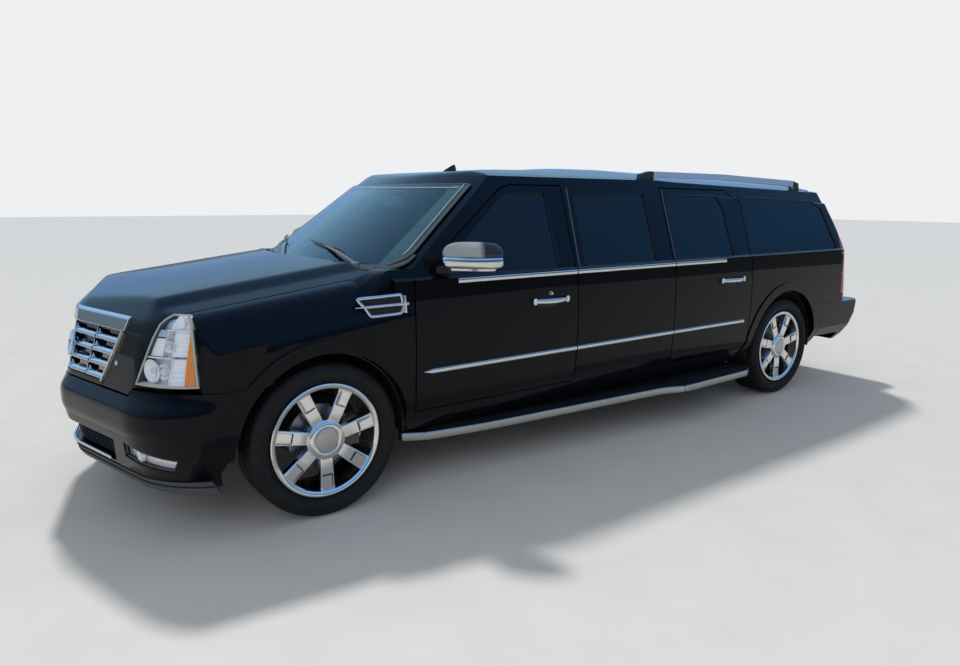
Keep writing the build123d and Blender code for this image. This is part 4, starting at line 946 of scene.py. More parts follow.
def spoke_shape():
    """One spoke pointing down from the wheel's middle: flat-faced sections with chamfers."""
    rows = []
    for reach, half, face in SPOKE_STATIONS:
        flank, front = face - SPOKE_CHAMFER, half - SPOKE_CHAMFER
        section = [(half, SPOKE_BACK), (half, flank), (front, face)]
        section = [(-w, y) for w, y in section] + section[::-1]
        rows.append([(w, y, -reach) for w, y in section])
    return capped(rows)


def spoke_pad():
    """The raised pad on a spoke's outer half, set to one side so that a ridge shows beside it."""
    outline = [(-0.021, 0.190), (0.027, 0.190), (0.030, 0.268), (-0.024, 0.268)]
    low = [(w, 0.1085, -r) for w, r in outline]
    high = [(w * 0.9 + 0.0006, 0.1155, -(r - 0.229) * 0.94 - 0.229) for w, r in outline]
    return capped([low, high])


def spoke_pad_shadows():
    """Black strips painted as the shadow beside the raised pad, at its inner end and along one side."""
    shadow_strips = Form(
        brick((-0.024, 0.1080, -0.1885), (0.028, 0.1128, -0.1835)),
        brick((-0.0285, 0.1080, -0.262), (-0.0250, 0.1128, -0.186)),
    )
    return np.vstack(shadow_strips.points), shadow_strips.faces


def seven(shape, middle):
    """A shape given from the wheel's middle, repeated round the axle."""
    points, faces = shape
    x, y, z = points.T
    ring = Form()
    for angle in circle(SPOKES):
        c, s = math.cos(angle), math.sin(angle)
        ring.add(spots(x * c + z * s, y, -x * s + z * c) + middle, faces)
    return ring


for end, x in AXLES.items():
    body = f"wheel_{end}"
    middle = (x, TRACK_HALF, WHEEL_Z)
    barrel, _ = lathe(RIM_LOOP, middle, segments=144)
    rim = Form((barrel, grid_faces(len(RIM_LOOP), 144, True, True)))
    pair(f"rim_{end}", rim, WHEEL_CHROME, body, 30, replaces=body)
    pair(f"spokes_{end}", seven(spoke_shape(), middle), WHEEL_CHROME, body, 30, bevel=0.002)
    pads = seven(spoke_pad(), middle)
    pair(f"spoke_pads_{end}", pads, WHEEL_CHROME, body, 30, bevel=0.0015)
    # Black strips: painted shadow at the pads' edges
    pair(f"spoke_marks_{end}", seven(spoke_pad_shadows(), middle), BLACK, body, 30)
    pair(f"hub_{end}", Form(lathe(HUB_PROFILE, middle)), WHEEL_CHROME, body, 32)
    cap = Form(lathe(CAP_PROFILE, middle, segments=72))
    pair(f"hub_cap_{end}", cap, DULL_NICKEL, body, 32)
    disc = Form(lathe(DISC_PROFILE, middle, segments=72))
    pair(f"brake_disc_{end}", disc, DISC_STEEL, body, 30, bevel=0.001)
    stem_line = np.array([(0.262, 0.070, 0.02), (0.248, 0.098, 0.02)]) + middle
    pair(f"valve_{end}", Form(rod(stem_line, 0.008, 0.008, 1.0, 10)), BLACK, body)
    for side, sign in SIDES.items():
        tyre = tyre_form(x, sign)
        replaced = (f"tyre_{end}_{side}",)
        piece(f"tyre_skin_{end}_{side}", tyre, RUBBER, f"{body}_{side}", 40, replaces=replaced)


# Front end details

GRILLE_LOW = 0.738
GRILLE_HIGH = 0.987
GRILLE_ROWS = 4
ROW = (GRILLE_HIGH - GRILLE_LOW) / GRILLE_ROWS
CELL_GAP = 0.006
# Sections of (depth, height): a shelf with a rolled lip, and the band that carries the comb
TRAY_SECTION = [
    (-0.005, 0.000), (-0.0020, 0.004), (-0.0015, 0.012), (-0.0035, 0.0175), (-0.008, 0.0225),
    (-0.016, 0.0275), (-0.030, 0.0310), (-0.050, 0.0330), (-0.050, 0.0100), (-0.024, 0.0040),
    (-0.012, 0.0005),
]
BAND_SECTION = [(-0.030, -0.008), (-0.030, -0.001), (-0.050, -0.001), (-0.050, -0.008)]


def nose_plate(half, z_low, z_high, out, thick, across, up):
    """Closed plate that follows the front surface, from out - thick to out; half(z) is its half width."""
    z = np.linspace(z_low, z_high, up)[:, None]
    y = half(z) * np.linspace(-1, 1, across)
    return Form(closed_shell(front_point(y, z, out), front_point(y, z, out - thick)))


def nose_bar(y, base, section):
    """A section of (depth, height) rows carried along the front surface over the places y."""
    return capped(np.stack([front_point(y, base + height, depth) for depth, height in section], axis=1))


def grille_edge(z):
    """Half width of the grille at a height; its sides slant outwards."""
    return 0.404 + (z - 0.714) * 0.4873


def upright_plate(y_low, y_high, z_low, z_high, near, far, thick):
    """Thin plate square to the front: a slanted side between two depths."""
    corners = [
        front_point(y + shift, z, depth)
        for shift in (0.0, thick)
        for z, y in ((z_low, y_low), (z_high, y_high))
        for depth in (near, far)
    ]
    return corners, [(0, 1, 3, 2), (4, 6, 7, 5), (0, 4, 5, 1), (2, 3, 7, 6), (0, 2, 6, 4), (1, 5, 7, 3)]


trays, combs = Form(), Form()
for base in GRILLE_LOW + ROW * np.arange(GRILLE_ROWS):
    top = base + ROW
    edge = grille_edge(base + 0.5 * ROW) - 0.014
    for column in (0.0, 0.5):
        y_in = edge * column + CELL_GAP + 0.002
        y_out = edge * (column + 0.5) - CELL_GAP
        trays.add(*nose_bar(np.linspace(y_in, y_out, 12), base, TRAY_SECTION))
        for plate in (
            (y_in + 0.003, y_in + 0.016, base + 0.008, base + 0.048, -0.008, -0.050, 0.0045),
            (y_in - 0.003, y_in + 0.004, base + 0.002, top - 0.004, -0.001, -0.030, 0.0030),
        ):
            trays.add(*upright_plate(*plate))
        teeth = np.linspace(y_in + (y_out - y_in) * 0.36, y_out - 0.006, 11)
        for y in teeth:
            combs.add(*upright_plate(y, y + 0.003, top - 0.034, top - 0.006, -0.030, -0.046, 0.0055))
        combs.add(*nose_bar(np.linspace(teeth[0] - 0.004, y_out, 6), top, BAND_SECTION))
z = np.linspace(GRILLE_LOW - 0.002, GRILLE_HIGH, 8)
border = Form(rod(front_point(grille_edge(z) - 0.004, z, 0.001), 0.010, 0.030, 0.5, 12, up=(1, 0, 0)))
piece("grille_trays", trays.whole(), CHROME, "root", 30, bevel=0.0012, replaces=("grille",))
piece("grille_combs", combs.whole(), SILVER, "root", 30)
piece("grille_border", border.whole(), CHROME, "root", 40)
back = nose_plate(lambda z: grille_edge(z) - 0.004, GRILLE_LOW, GRILLE_HIGH, -0.052, 0.006, 61, 6)
piece("grille_back", back, FINS, "root", 30)
foot = nose_plate(lambda z: grille_edge(z) - 0.001, 0.712, GRILLE_LOW - 0.003, 0.001, 0.030, 61, 4)
piece("grille_foot", foot, PAINT, "root", 30, bevel=0.004, segments=3)

# Bare round disc on the grille's middle, leaning with the nose and standing before the trays
DISC_Z = 0.868
disc_points, disc_faces = lathe(
    [(3.149, 0.0), (3.157, 0.060), (3.167, 0.066), (3.175, 0.066), (3.1775, 0.061), (3.174, 0.056),
     (3.169, 0.053), (3.171, 0.030), (3.172, 0.0)],
    (0, 0, DISC_Z), 0, 72,
)
disc_points[:, 0] -= 0.227 * (disc_points[:, 2] - DISC_Z)
piece("grille_disc", Form((disc_points, disc_faces)), CHROME, "root", 32)

# Header bar over the grille
header = nose_plate(lambda z: grille_edge(z) + 0.004, 0.991, 1.064, 0.008, 0.020, 81, 14)
header_node = ("grille_header",)
piece("header_bar", header, CHROME, "hood", 30, bevel=0.004, segments=3, replaces=header_node)

# Small round sensor in the painted fascia
x, y, z = front_point(0.511, 0.837)
eye = [(x - 0.004, 0.0), (x - 0.004, 0.013), (x + 0.0035, 0.012), (x + 0.006, 0.008), (x + 0.0065, 0.0)]
pair("fascia_sensor", Form(lathe(eye, (0, y, z), 0, 32)), SILVER, "root")

# Lower valance: two stepped lips that follow the bumper's foot
for label, z_low, z_high, out in (("upper", 0.300, 0.322, 0.010), ("lower", 0.262, 0.296, 0.020)):
    lip = nose_plate(lambda z: 0.965, z_low, z_high, out, out + 0.012, 121, 5)
    piece(f"valance_{label}", lip, GREY_TRIM, "root", 30, bevel=0.004)

# Slatted mesh inside the lower intake with a bright strip at its foot
intake = Form()
for z in np.linspace(0.360, 0.452, 6):
    intake.add(*rod(front_point(np.linspace(-0.47, 0.47, 41), z, -0.045), 0.020, 0.006, 0.6, 10))
for y in np.linspace(-0.44, 0.44, 23):
    intake.add(*rod(front_point(y, np.linspace(0.346, 0.468, 4), -0.050), 0.006, 0.014, 0.6, 8, up=(1, 0, 0)))
piece("intake_mesh", intake, BLACK, "root")
bright = Form(rod(front_point(np.linspace(-0.44, 0.44, 61), 0.352, 0.004), 0.012, 0.016, 0.6, 12))
piece("intake_strip", bright, CHROME, "root")


# Smooth painted skins of the hood, the roof, the bumper's top and the fender corners

def soft_min(first, second, blend):
    """The lower of two heights, rounded over where they meet: -k log(exp(-a/k) + exp(-b/k))."""
    return -blend * np.logaddexp(-first / blend, -second / blend)


def smooth_rise(share):
    """Smooth step from 0 to 1."""
    share = np.clip(share, 0.0, 1.0)
    return share**2 * (3 - 2 * share)


def front_fall(x):
    """How far the hood's and fenders' tops have fallen at x, from the cowl forwards."""
    return 0.126 * (x - 1.586)


def screen_bow(y):
    """How far the windshield's plan arc lies behind its middle at y."""
    return SCREEN_RADIUS - np.sqrt(SCREEN_RADIUS**2 - y**2)


def hood_height(x, y):
    """Hood top: the long centre curve, the crowned section with its side step, and the nose bevel."""
    wide = np.abs(y)
    centre = 1.300 - 0.05205 * (x - 1.6) - 0.10729 * (x - 1.6) * (x - 2.33)
    step = 0.030 * smooth_rise((wide - 0.615) / 0.115)
    crown = 1.338 - 0.064 * wide**2 - step - 0.15 * np.maximum(wide - 0.70, 0) - front_fall(x)
    behind = 3.134 - x - nose_setback(wide)
    front = soft_min(1.054 + behind * 4.405, 1.054 + behind * 1.10, 0.007)
    return soft_min(soft_min(centre, crown, 0.006), front, 0.011)


def hood_skin():
    """Closed hood panel: columns across, rows from the front edge back to the cowl."""
    u = np.linspace(-1, 1, 97)[None, :]
    v = np.linspace(0, 1, 84)[:, None] ** 2.1
    start = front_point(0.79 * u, 0.990)[..., 0]
    for _ in range(3):
        back = (start - (2.017 - screen_bow(0.80 * u))) * v
        y = np.interp(back, [0.0, 0.0145, 0.045, 0.060], [0.765, 0.784, 0.798, 0.818]) * u
        start = front_point(y, 0.990)[..., 0]
    x = start - (start - (2.017 - screen_bow(y))) * v
    top = spots(x, y, hood_height(x, y))
    return closed_shell(top, top + (-0.012, 0.0, -0.016))


ROOF_LINE = [
    (1.420, 1.640), (1.330, 1.712), (1.180, 1.768), (0.920, 1.796), (0.600, 1.806), (0.300, 1.810),
    (0.060, 1.836), (-0.700, 1.842), (-1.500, 1.832), (-2.200, 1.796), (-2.600, 1.748), (-3.000, 1.680),
]


def roof_height(x, y):
    """Roof top: the side view's smooth line, the crown across, and the windshield's slope in front."""
    curve = smooth_loop(ROOF_LINE, 24, closed=False)[::-1]
    along = np.interp(x, curve[:, 0], curve[:, 1])
    crown = 1.848 - 0.095 * (np.abs(y) / 0.778) ** 2.2 - 0.0275 * np.maximum(-0.3 - x, 0)
    slope = 1.250 + (1.955 - screen_bow(y) - x) / SCREEN_LEAN
    return soft_min(soft_min(along, crown, 0.005), slope, 0.006)


def roof_skin():
    """Closed roof panel from the windshield's header to the liftgate."""
    u = np.linspace(-1, 1, 81)[None, :]
    front = 1.310 - screen_bow(0.652 * u)
    x = front + (-2.553 - front) * np.linspace(0, 1, 110)[:, None] ** 1.5
    y = np.interp(-x, [-1.212, -1.150], [0.652, 0.739]) * u
    top = spots(x, y, roof_height(x, y))
    return closed_shell(top, top + (-0.002, 0.0, -0.010))


def bumper_skin():
    """Smooth upper face of the front bumper, across its whole width.

    Level sections: apex arc, shallow V, corner arc, straight side, trimmed by the side section. The nose
    levels are averaged over 40 mm of height, and the edges sink under the panel."""
    v = np.linspace(0, 1, 44)[:, None]
    flat = np.linspace(0, CORNER_START, 26)[:-1]
    run = np.linspace(0, 1, 44)
    count = len(flat)
    bend = CORNER_Y + CORNER_RADIUS * np.sin(np.minimum(CORNER_TURN + 1.3 * run, math.pi / 2))
    width = np.concatenate([flat, bend])
    z = 0.505 + (np.interp(width, [0.670, 0.702], [0.7045, 0.7405]) - 0.505) * v
    reach = np.mean([nose_x(z + step) for step in np.linspace(-0.020, 0.020, 9)], axis=0)
    centre = reach - CORNER_SETBACK
    x_end = AXLES["front"] + np.sqrt(FRONT_ARCH**2 - (z - WHEEL_Z) ** 2)
    full = CORNER_RADIUS * (math.pi / 2 - CORNER_TURN)
    short = CORNER_RADIUS * (np.arccos(np.clip((x_end - centre) / CORNER_RADIUS, 0, 1)) - CORNER_TURN)
    length = (np.where(x_end > centre, short, full + centre - x_end) * np.r_[0 * flat, run])[:, count:]
    turn = np.minimum(CORNER_TURN + length / CORNER_RADIUS, math.pi / 2)
    x_corner = centre[:, count:] + CORNER_RADIUS * np.cos(turn) - np.maximum(length - full, 0)
    x = np.hstack([reach[:, :count] - nose_setback(flat), x_corner])
    y = soft_min(np.hstack([flat + 0 * v, CORNER_Y + CORNER_RADIUS * np.sin(turn)]), side_y(z), 0.005)
    aim = np.hstack([np.arctan(V_SLOPE) * np.minimum(flat / APEX_HALF, 1) + 0 * v, turn])
    edge = 1 - np.concatenate([0 * flat, run])
    out = 0.0036 * smooth_rise(v / 0.22) * smooth_rise(edge / 0.10) - 0.0006
    halves = [spots(x + shift * np.cos(aim), y + shift * np.sin(aim), z) for shift in (out, -0.006)]
    return closed_shell(*[np.hstack([(half * (1, -1, 1))[:, :0:-1], half]) for half in halves])


def fender_corner():
    """Smooth skin behind the headlamp: a cubic from the corner arc to the flat side, then the lower of
    it, the leaning crown and the side section, blended."""
    front, rear, low, length, side = 2.787, 2.470, 0.750, 0.082, 1.0045
    u = np.linspace(0, 1, 36)[None, :]
    v = np.linspace(0, 1, 36)[:, None]
    x = front - (front - rear) * u + 0 * v
    z = low + (1.171 - front_fall(x) - low) * v
    ahead = front - (nose_x(z) - CORNER_SETBACK)
    start = np.sqrt(CORNER_RADIUS**2 - ahead**2)
    slope = ahead / start
    start = start + CORNER_Y
    t = np.clip((front - x) / length, 0, 1)
    arc = start + (side - start) * (3 * t**2 - 2 * t**3) + length * slope * (t**3 - 2 * t**2 + t)
    crown = 0.905 + (1.226 - front_fall(x) - z) * 0.6446
    y = soft_min(soft_min(arc, crown, 0.004), side_y(z) + 0.001, 0.0015)
    out = 0.0034 * smooth_rise((1 - v) / 0.25) * smooth_rise((1 - u) / 0.55) - 0.0006
    return closed_shell(spots(x, y + out, z), spots(x, y - 0.012, z))


piece("bumper_skin", Form(bumper_skin()), PAINT, "root", 50)
pair("fender_corner", Form(fender_corner()), PAINT, "root", 50)
piece("hood_skin", Form(hood_skin()), PAINT, "hood", 50, replaces=("hood",))
piece("roof_skin", Form(roof_skin()), PAINT, "root", 50, replaces=("roof_panel",))


# Headlamps: everything is laid out by the corner's angle and the height

def lamp_point(angle, z, out=0.0):
    """Point of the front corner at an angle round it, moved outwards."""
    reach = CORNER_RADIUS + out
    return spots(nose_x(z) - CORNER_SETBACK + reach * np.cos(angle), CORNER_Y + reach * np.sin(angle), z)


def lamp_sides(z):
    """Angles of the lamp's inner and rear edges at a height."""
    inner_y = np.interp(z, [0.752, 0.984, 1.080, 1.100], [0.706, 0.768, 0.806, 0.826])
    inner = np.arcsin((inner_y - CORNER_Y) / CORNER_RADIUS)
    rear = np.arccos(np.clip((2.793 - nose_x(z) + CORNER_SETBACK) / CORNER_RADIUS, -1, 1))
    return inner, rear


def lamp_angle(share, z):
    """Angle at a share of the lamp's width, from its inner edge, and a height."""
    inner, rear = lamp_sides(z)
    return inner + (rear - inner) * share


def lamp_patch(t0, t1, z0, z1, out, thick=0.006, wave=0.0, pitch=1.0, across=18, up=18, lean=0.0):
    """Closed plate inside the lamp between two shares of its width and two heights.

    wave ribs it, and lean moves its inner side rearwards with the square of the height."""
    share = np.linspace(0, 1, across)[None, :]
    rise = np.linspace(0, 1, up)[:, None]
    z = z0 + (z1 - z0) * rise
    start = t0 + lean * rise**2
    angle = lamp_angle(start + (t1 - start) * share, z)
    ripple = wave * np.sin(z * 2 * math.pi / pitch)
    return closed_shell(lamp_point(angle, z, out + ripple), lamp_point(angle, z, out - thick))


def reflector(t, z, radius, out, depth):
    """A bowl that faces forwards along the surface's own direction: a paraboloid with a rolled rim."""
    angle = lamp_angle(t, z)
    ahead = np.array([math.cos(angle * 0.75), math.sin(angle * 0.75), 0.0])
    across = np.array([-ahead[1], ahead[0], 0.0])
    share = np.linspace(0, 1, 12)
    rings = [(radius * s, -depth * (1 - s**2)) for s in share]
    rings += [(radius * 1.06, 0.001), (radius * 1.10, -0.003), (radius * 1.06, -0.007)]
    rings += [(radius * (1 - s) * 1.04, -0.006 - depth * (1 - (1 - s) ** 2)) for s in share[1:]]
    reach, place = np.array(rings)[:, :, None, None].swapaxes(0, 1)
    turn = circle(48)[:, None]
    ring = across * np.cos(turn) + np.array([0, 0, 1.0]) * np.sin(turn)
    points = lamp_point(angle, z, out) + ahead * place + ring * reach
    return points, grid_faces(len(rings), 48, wrap_cols=True)


def bulb(t, z, radius, out):
    """A small clear dome over a reflector's middle."""
    tilt = np.linspace(-math.pi / 2, math.pi / 2, 13)[:, None]
    turn = circle(28)
    ball = radius * spots(np.cos(tilt) * np.cos(turn), np.cos(tilt) * np.sin(turn), np.sin(tilt))
    return lamp_point(lamp_angle(t, z), z, out) + ball, grid_faces(13, 28, wrap_cols=True)


silver = Form(
    lamp_patch(0.02, 0.96, 0.774, 1.060, -0.050, 0.004),
    lamp_patch(0.34, 0.95, 1.030, 1.090, -0.022, 0.005, wave=0.0022, pitch=0.013),
    lamp_patch(0.50, 0.86, 0.905, 1.022, -0.026, 0.005, wave=0.0020, pitch=0.020),
    lamp_patch(0.56, 0.82, 0.775, 0.895, -0.020, 0.006, wave=0.0030, pitch=0.022),
    lamp_patch(0.04, 0.33, 0.905, 0.985, -0.020, 0.006),
    lamp_patch(0.01, 0.86, 0.766, 0.778, -0.010, 0.030),
    lamp_patch(0.30, 0.95, 1.024, 1.029, -0.006, 0.045, up=3),
    lamp_patch(0.02, 0.55, 0.897, 0.902, -0.008, 0.045, up=3),
    lamp_patch(0.335, 0.345, 0.905, 1.022, -0.008, 0.045, across=3),
    lamp_patch(0.555, 0.565, 0.775, 0.900, -0.008, 0.045, across=3),
    reflector(0.19, 0.836, 0.050, -0.014, 0.030),
    reflector(0.43, 0.836, 0.034, -0.014, 0.020),
    reflector(0.43, 0.950, 0.026, -0.014, 0.018),
    reflector(0.62, 1.058, 0.022, -0.010, 0.012),
)
pair("lamp_reflectors", silver, LAMP_SHELL, "root", 32)
bulbs = Form(
    bulb(0.19, 0.836, 0.014, -0.030), bulb(0.43, 0.836, 0.020, -0.022), bulb(0.43, 0.950, 0.012, -0.020),
)
pair("lamp_bulbs", bulbs, PALE_LENS, "root", 40)
cell = Form(lamp_patch(0.05, 0.32, 0.992, 1.024, -0.018), lamp_patch(0.18, 0.34, 1.030, 1.078, -0.030))
pair("lamp_blue_cell", cell, BLUE_CELL, "root", 40)
amber = lamp_patch(0.800, 0.945, 0.776, 1.022, -0.004, 0.012, wave=0.0008, pitch=0.012, up=60, lean=0.125)
pair("lamp_amber", Form(amber), AMBER, "root", 40)
z = np.linspace(0.772, 1.094, 16)
inner, rear = lamp_sides(z)
seal = Form(
    rod(lamp_point(rear - 0.020, z, -0.001), 0.024, 0.010, 0.6, 10, up=(1, 0, 0)),
    rod(lamp_point(inner + 0.004, z, -0.002), 0.006, 0.008, 0.6, 10, up=(1, 0, 0)),
)
for height, thick in ((0.773, 0.008), (1.094, 0.007)):
    path = lamp_point(lamp_angle(np.linspace(0, 1, 14), height), height, -0.002)
    seal.add(*rod(path, 0.008, thick, 0.6, 10))
pair("lamp_seal", seal, LAMP_EDGE, "root", 40)

# Fog lamps: a bowl, a blade of silver and a bright surround in the bumper's pockets
fog_y, fog_z = quad_grid([(0.604, 0.404), (0.876, 0.377), (0.900, 0.426), (0.628, 0.476)], 24, 8)
x, y, z = front_point(0.700, 0.425, -0.020)
bowl = [(x - 0.020 + 0.020 * (s / 0.034) ** 2, s) for s in np.linspace(0.0, 0.034, 9)]
bowl += [(x + 0.001, 0.036), (x - 0.022, 0.036), (x - 0.024, 0.0)]
silver = Form(closed_shell(front_point(fog_y, fog_z, -0.036), front_point(fog_y, fog_z, -0.040)))
silver.add(*lathe(bowl, (0, y, z), 0, 40))
pair("fog_bowl", silver, LAMP_SHELL, "root", 32)
loop = edge_of(front_point(fog_y, fog_z, -0.012))
rim = Form(rod(loop, 0.010, 0.007, 0.7, 10, up=(0.3, 0, 1), closed=True))
pair("fog_rim", rim, GREY_TRIM, "root", 40)


# Body side details

def side_point(x, z, out=0.0):
    """Point of the body side at (x, z), moved outwards along Y."""
    return spots(x, side_y(z) + out, z)


def fender_vent():
    """Bright D frame, upright, bar and screen behind the front wheel."""
    loop = smooth_loop([
        (2.008, 1.119), (1.900, 1.1215), (1.790, 1.1245), (1.768, 1.118), (1.762, 1.075), (1.768, 1.035),
        (1.790, 1.0275), (1.860, 1.0255), (1.930, 1.0245), (1.952, 1.030), (1.985, 1.075), (2.014, 1.106),
    ], 6)
    bar_x = np.linspace(2.036, 1.728, 20)
    bar_scale = np.clip((2.040 - bar_x) / 0.08, 0.35, 1.0)
    post_z = np.linspace(1.030, 1.120, 8)
    chrome = Form(
        rod(side_point(loop[:, 0], loop[:, 1], 0.004), 0.016, 0.013, 0.8, 12, up=(0, 1, 0), closed=True),
        rod(side_point(bar_x, 1.0755, 0.007), 0.016, 0.017, 0.7, 14, up=(0, 1, 0), scale=bar_scale),
        rod(side_point(1.752, post_z, 0.004), 0.014, 0.042, 0.5, 14, up=(0, 1, 0)),
    )
    plate_x, plate_z = quad_grid([(1.765, 1.028), (1.945, 1.026), (2.008, 1.116), (1.765, 1.121)], 14, 10)
    screen = Form(closed_shell(side_point(plate_x, plate_z, 0.0012), side_point(plate_x, plate_z, -0.0008)))
    for x in np.linspace(1.790, 2.000, 22):
        z = np.linspace(1.026 + max(0.0, (x - 1.945) * 1.35), 1.120, 5)
        screen.add(*rod(side_point(x, z, 0.0035), 0.004, 0.0028, 0.9, 6, up=(0, 1, 0)))
    for z in np.linspace(1.034, 1.112, 9):
        x = np.linspace(1.775, 1.950 + (z - 1.026) * 0.74, 12)
        screen.add(*rod(side_point(x, z, 0.003), 0.004, 0.0028, 0.9, 6, up=(0, 1, 0)))
    return chrome, screen


def door_handle(x_front, x_rear, z_front, z_rear):
    """Bright pull bar bowed off the door, its two feet, and the dark finger cup under it."""
    share = np.linspace(0, 1, 25)
    x = x_front + (x_rear - x_front) * share
    z = z_front + (z_rear - z_front) * share - 0.013
    bow = 0.046 * np.sin(np.pi * np.clip(share * 1.16 - 0.08, 0, 1)) ** 0.55 * 0.9 + 0.004
    swell = 0.72 + 0.28 * np.sin(np.pi * share) ** 0.5
    bar = Form(rod(side_point(x, z, bow), 0.030, 0.017, 0.75, 18, up=(0, 1, 0), scale=swell))
    for spot in (x_front - 0.012, x_rear + 0.016):
        foot = side_point(spot, z_front - 0.013, np.array([0.0, 0.020]))
        bar.add(*rod(foot, 0.040, 0.030, 0.8, 16, up=(1, 0, 0)))
    turn = circle(36)
    reach = np.linspace(1, 0, 6)[:, None]
    cup_x = (x_front + x_rear) / 2 + 0.02 + 0.105 * reach * np.cos(turn)
    cup_z = z_front - 0.022 + 0.034 * reach * np.sin(turn)
    outer = side_point(cup_x, cup_z, 0.0018).reshape(-1, 3)[::-1]
    inner = side_point(cup_x, cup_z, -0.002).reshape(-1, 3)
    return bar, Form((np.vstack([outer, inner]), grid_faces(12, 36, wrap_cols=True)))


def lock_knob(x, z):
    """Small bright key barrel on a flat foot."""
    profile = [
        (-0.002, 0.0), (-0.002, 0.015), (0.005, 0.014), (0.006, 0.011), (0.016, 0.0105), (0.018, 0.008),
        (0.018, 0.0),
    ]
    return lathe(profile, side_point(x, z), segments=32)


chrome, screen = fender_vent()
pair("vent_frame", chrome, CHROME, "root", 40)
pair("vent_screen", screen, BLACK, "root", 40)
for end, place in (("front", (0.871, 0.580, 1.028, 1.026)), ("rear", (-0.984, -1.281, 1.038, 1.036))):
    bar, cup = door_handle(*place)
    if end == "front":
        bar.add(*lock_knob(0.722, 1.055))
    pair(f"handle_{end}", bar, CHROME, f"{end}_door", 40)
    pair(f"handle_cup_{end}", cup, BLACK, f"{end}_door", 50)

# Dark rubber round each side window, just under the glass plane
WINDOWS = {
    "front_door": [
        (1.560, 1.200), (1.490, 1.245), (0.985, 1.625), (0.930, 1.652), (0.625, 1.656), (0.620, 1.200),
    ],
    "rear_door": [(-0.515, 1.200), (-0.512, 1.655), (-1.120, 1.650), (-1.180, 1.560), (-1.195, 1.200)],
    "stretch": [(0.400, 1.200), (0.395, 1.656), (-0.290, 1.656), (-0.300, 1.200)],
    "quarter": [
        (-1.425, 1.200), (-1.420, 1.646), (-2.470, 1.612), (-2.610, 1.560), (-2.745, 1.215), (-2.720, 1.200),
    ],
}
share = np.linspace(0, 1, 13)[:-1, None]
for name, corners in WINDOWS.items():
    here = np.array(corners)[:, None]
    x, z = (here * (1 - share) + np.roll(here, -1, axis=0) * share).reshape(-1, 2).T
    rubber = Form(rod(spots(x, glass_y(z) - 0.007, z), 0.012, 0.010, 0.8, 10, up=GLASS_UP, closed=True))
    carrier = name if name.endswith("door") else "root"
    pair(f"window_seal_{name}", rubber, SEAL, carrier, 50)

# Thin applied edge in front of the rear door's window post and behind the front door's
z = np.linspace(1.205, 1.690, 16)
for name, x_low, x_high, carrier in (("front", 0.455, 0.440, "root"), ("rear", -0.490, -0.482, "rear_door")):
    path = spots(np.linspace(x_low, x_high, 16), glass_y(z) + 0.001, z)
    strip = rod(path, 0.010, 0.005, 0.8, 10, up=GLASS_UP)
    pair(f"post_edge_{name}", Form(strip), GREY_TRIM, carrier, 50)


# Windshield surround and wipers

def screen_point(y, z, out=0.0):
    """Point of the windshield's outer face, moved forwards along its slope."""
    tilt = math.hypot(1, SCREEN_LEAN)
    x = 1.945 - screen_bow(np.asarray(y, float)) - SCREEN_LEAN * (z - 1.250)
    return spots(x + out / tilt, y, z + out * SCREEN_LEAN / tilt)


def screen_side(z):
    """Half width of the windshield's opening at a height."""
    return np.interp(z, [1.264, 1.692], [0.760, 0.640])


def pane_half(z):
    """Half width of the glass at a height, rounded in at its foot."""
    foot = np.clip(1 - (z - 1.252) / 0.075, 0, 1)
    return np.interp(z, [1.252, 1.692], [0.880, 0.728]) - 0.085 * foot**2


def screen_plate(inner, outer, low, high, out, thick, rows=40, cols=60):
    """Closed plate on the windshield between two half widths given as functions of the height."""
    z = np.linspace(low, high, rows)[:, None]
    share = np.linspace(0, 1, cols)[None, :]
    y = inner(z) * (1 - share) + outer(z) * share
    return closed_shell(screen_point(y, z, out), screen_point(y, z, out - thick))


def screen_rod(y, z, out, width, height, corner, count, **course):
    """A rounded section along a line on the windshield."""
    return rod(screen_point(y, z, out), width, height, corner, count, up=SCREEN_UP, **course)


glass = Form(screen_plate(lambda z: -pane_half(z), pane_half, 1.252, 1.690, 0.016, 0.006))
piece("windshield_pane", glass, SCREEN_GLASS, "root", 50, replaces=("windshield",))
trim_inner, trim_outer = lambda z: screen_side(z) - 0.004, lambda z: pane_half(z) - 0.004
trim = Form(screen_plate(trim_inner, trim_outer, 1.258, 1.688, 0.0098, 0.0035, cols=6)).whole()
z = np.linspace(1.254, 1.688, 44)
# Pale line inside the glass's sides and top: a painted reflection at the glass edge
line = Form(screen_rod(pane_half(z[5:]) - 0.016, z[5:], 0.0175, 0.0055, 0.003, 0.8, 8)).whole()
line.add(*screen_rod(np.linspace(-0.700, 0.700, 61), 1.668, 0.0175, 0.0045, 0.003, 0.8, 8))
band = Form(screen_rod(pane_half(z) + 0.012, z, 0.013, 0.034, 0.008, 0.6, 12)).whole()
band.add(*screen_rod(np.linspace(-0.735, 0.735, 61), 1.694, 0.010, 0.012, 0.006, 0.6, 12))
# The pillar strip's grey-green is a painted sky reflection on black paint
piece("screen_pillar_sheen", trim, PILLAR_SKY_SHEEN, "root", 50)
piece("screen_edge_glint", line, GLASS_EDGE_GLINT, "root", 50)
piece("screen_band", band, GREY_TRIM, "root", 50)
foot_line = [(0.560, 1.240), (0.680, 1.238), (0.775, 1.240), (0.840, 1.250), (0.882, 1.275), (0.884, 1.310)]
y, z = smooth_loop(foot_line, 8, closed=False).T
swell = np.interp(np.linspace(0, 1, len(y)), [0, 0.5, 1.0], [0.6, 1.5, 0.9])
corner = Form(screen_rod(y, z, 0.008, 0.050, 0.012, 0.6, 14, scale=swell)).whole()
piece("cowl_corner", corner, GREY_TRIM, "root", 50)

# Painted wings that carry the fender tops up to the feet of the windshield pillars
FENDER_CROWN = [
    (0.720, 1.268), (0.777, 1.258), (0.807, 1.250), (0.844, 1.240), (0.904, 1.212), (0.927, 1.189),
    (0.949, 1.158), (0.985, 1.105),
]


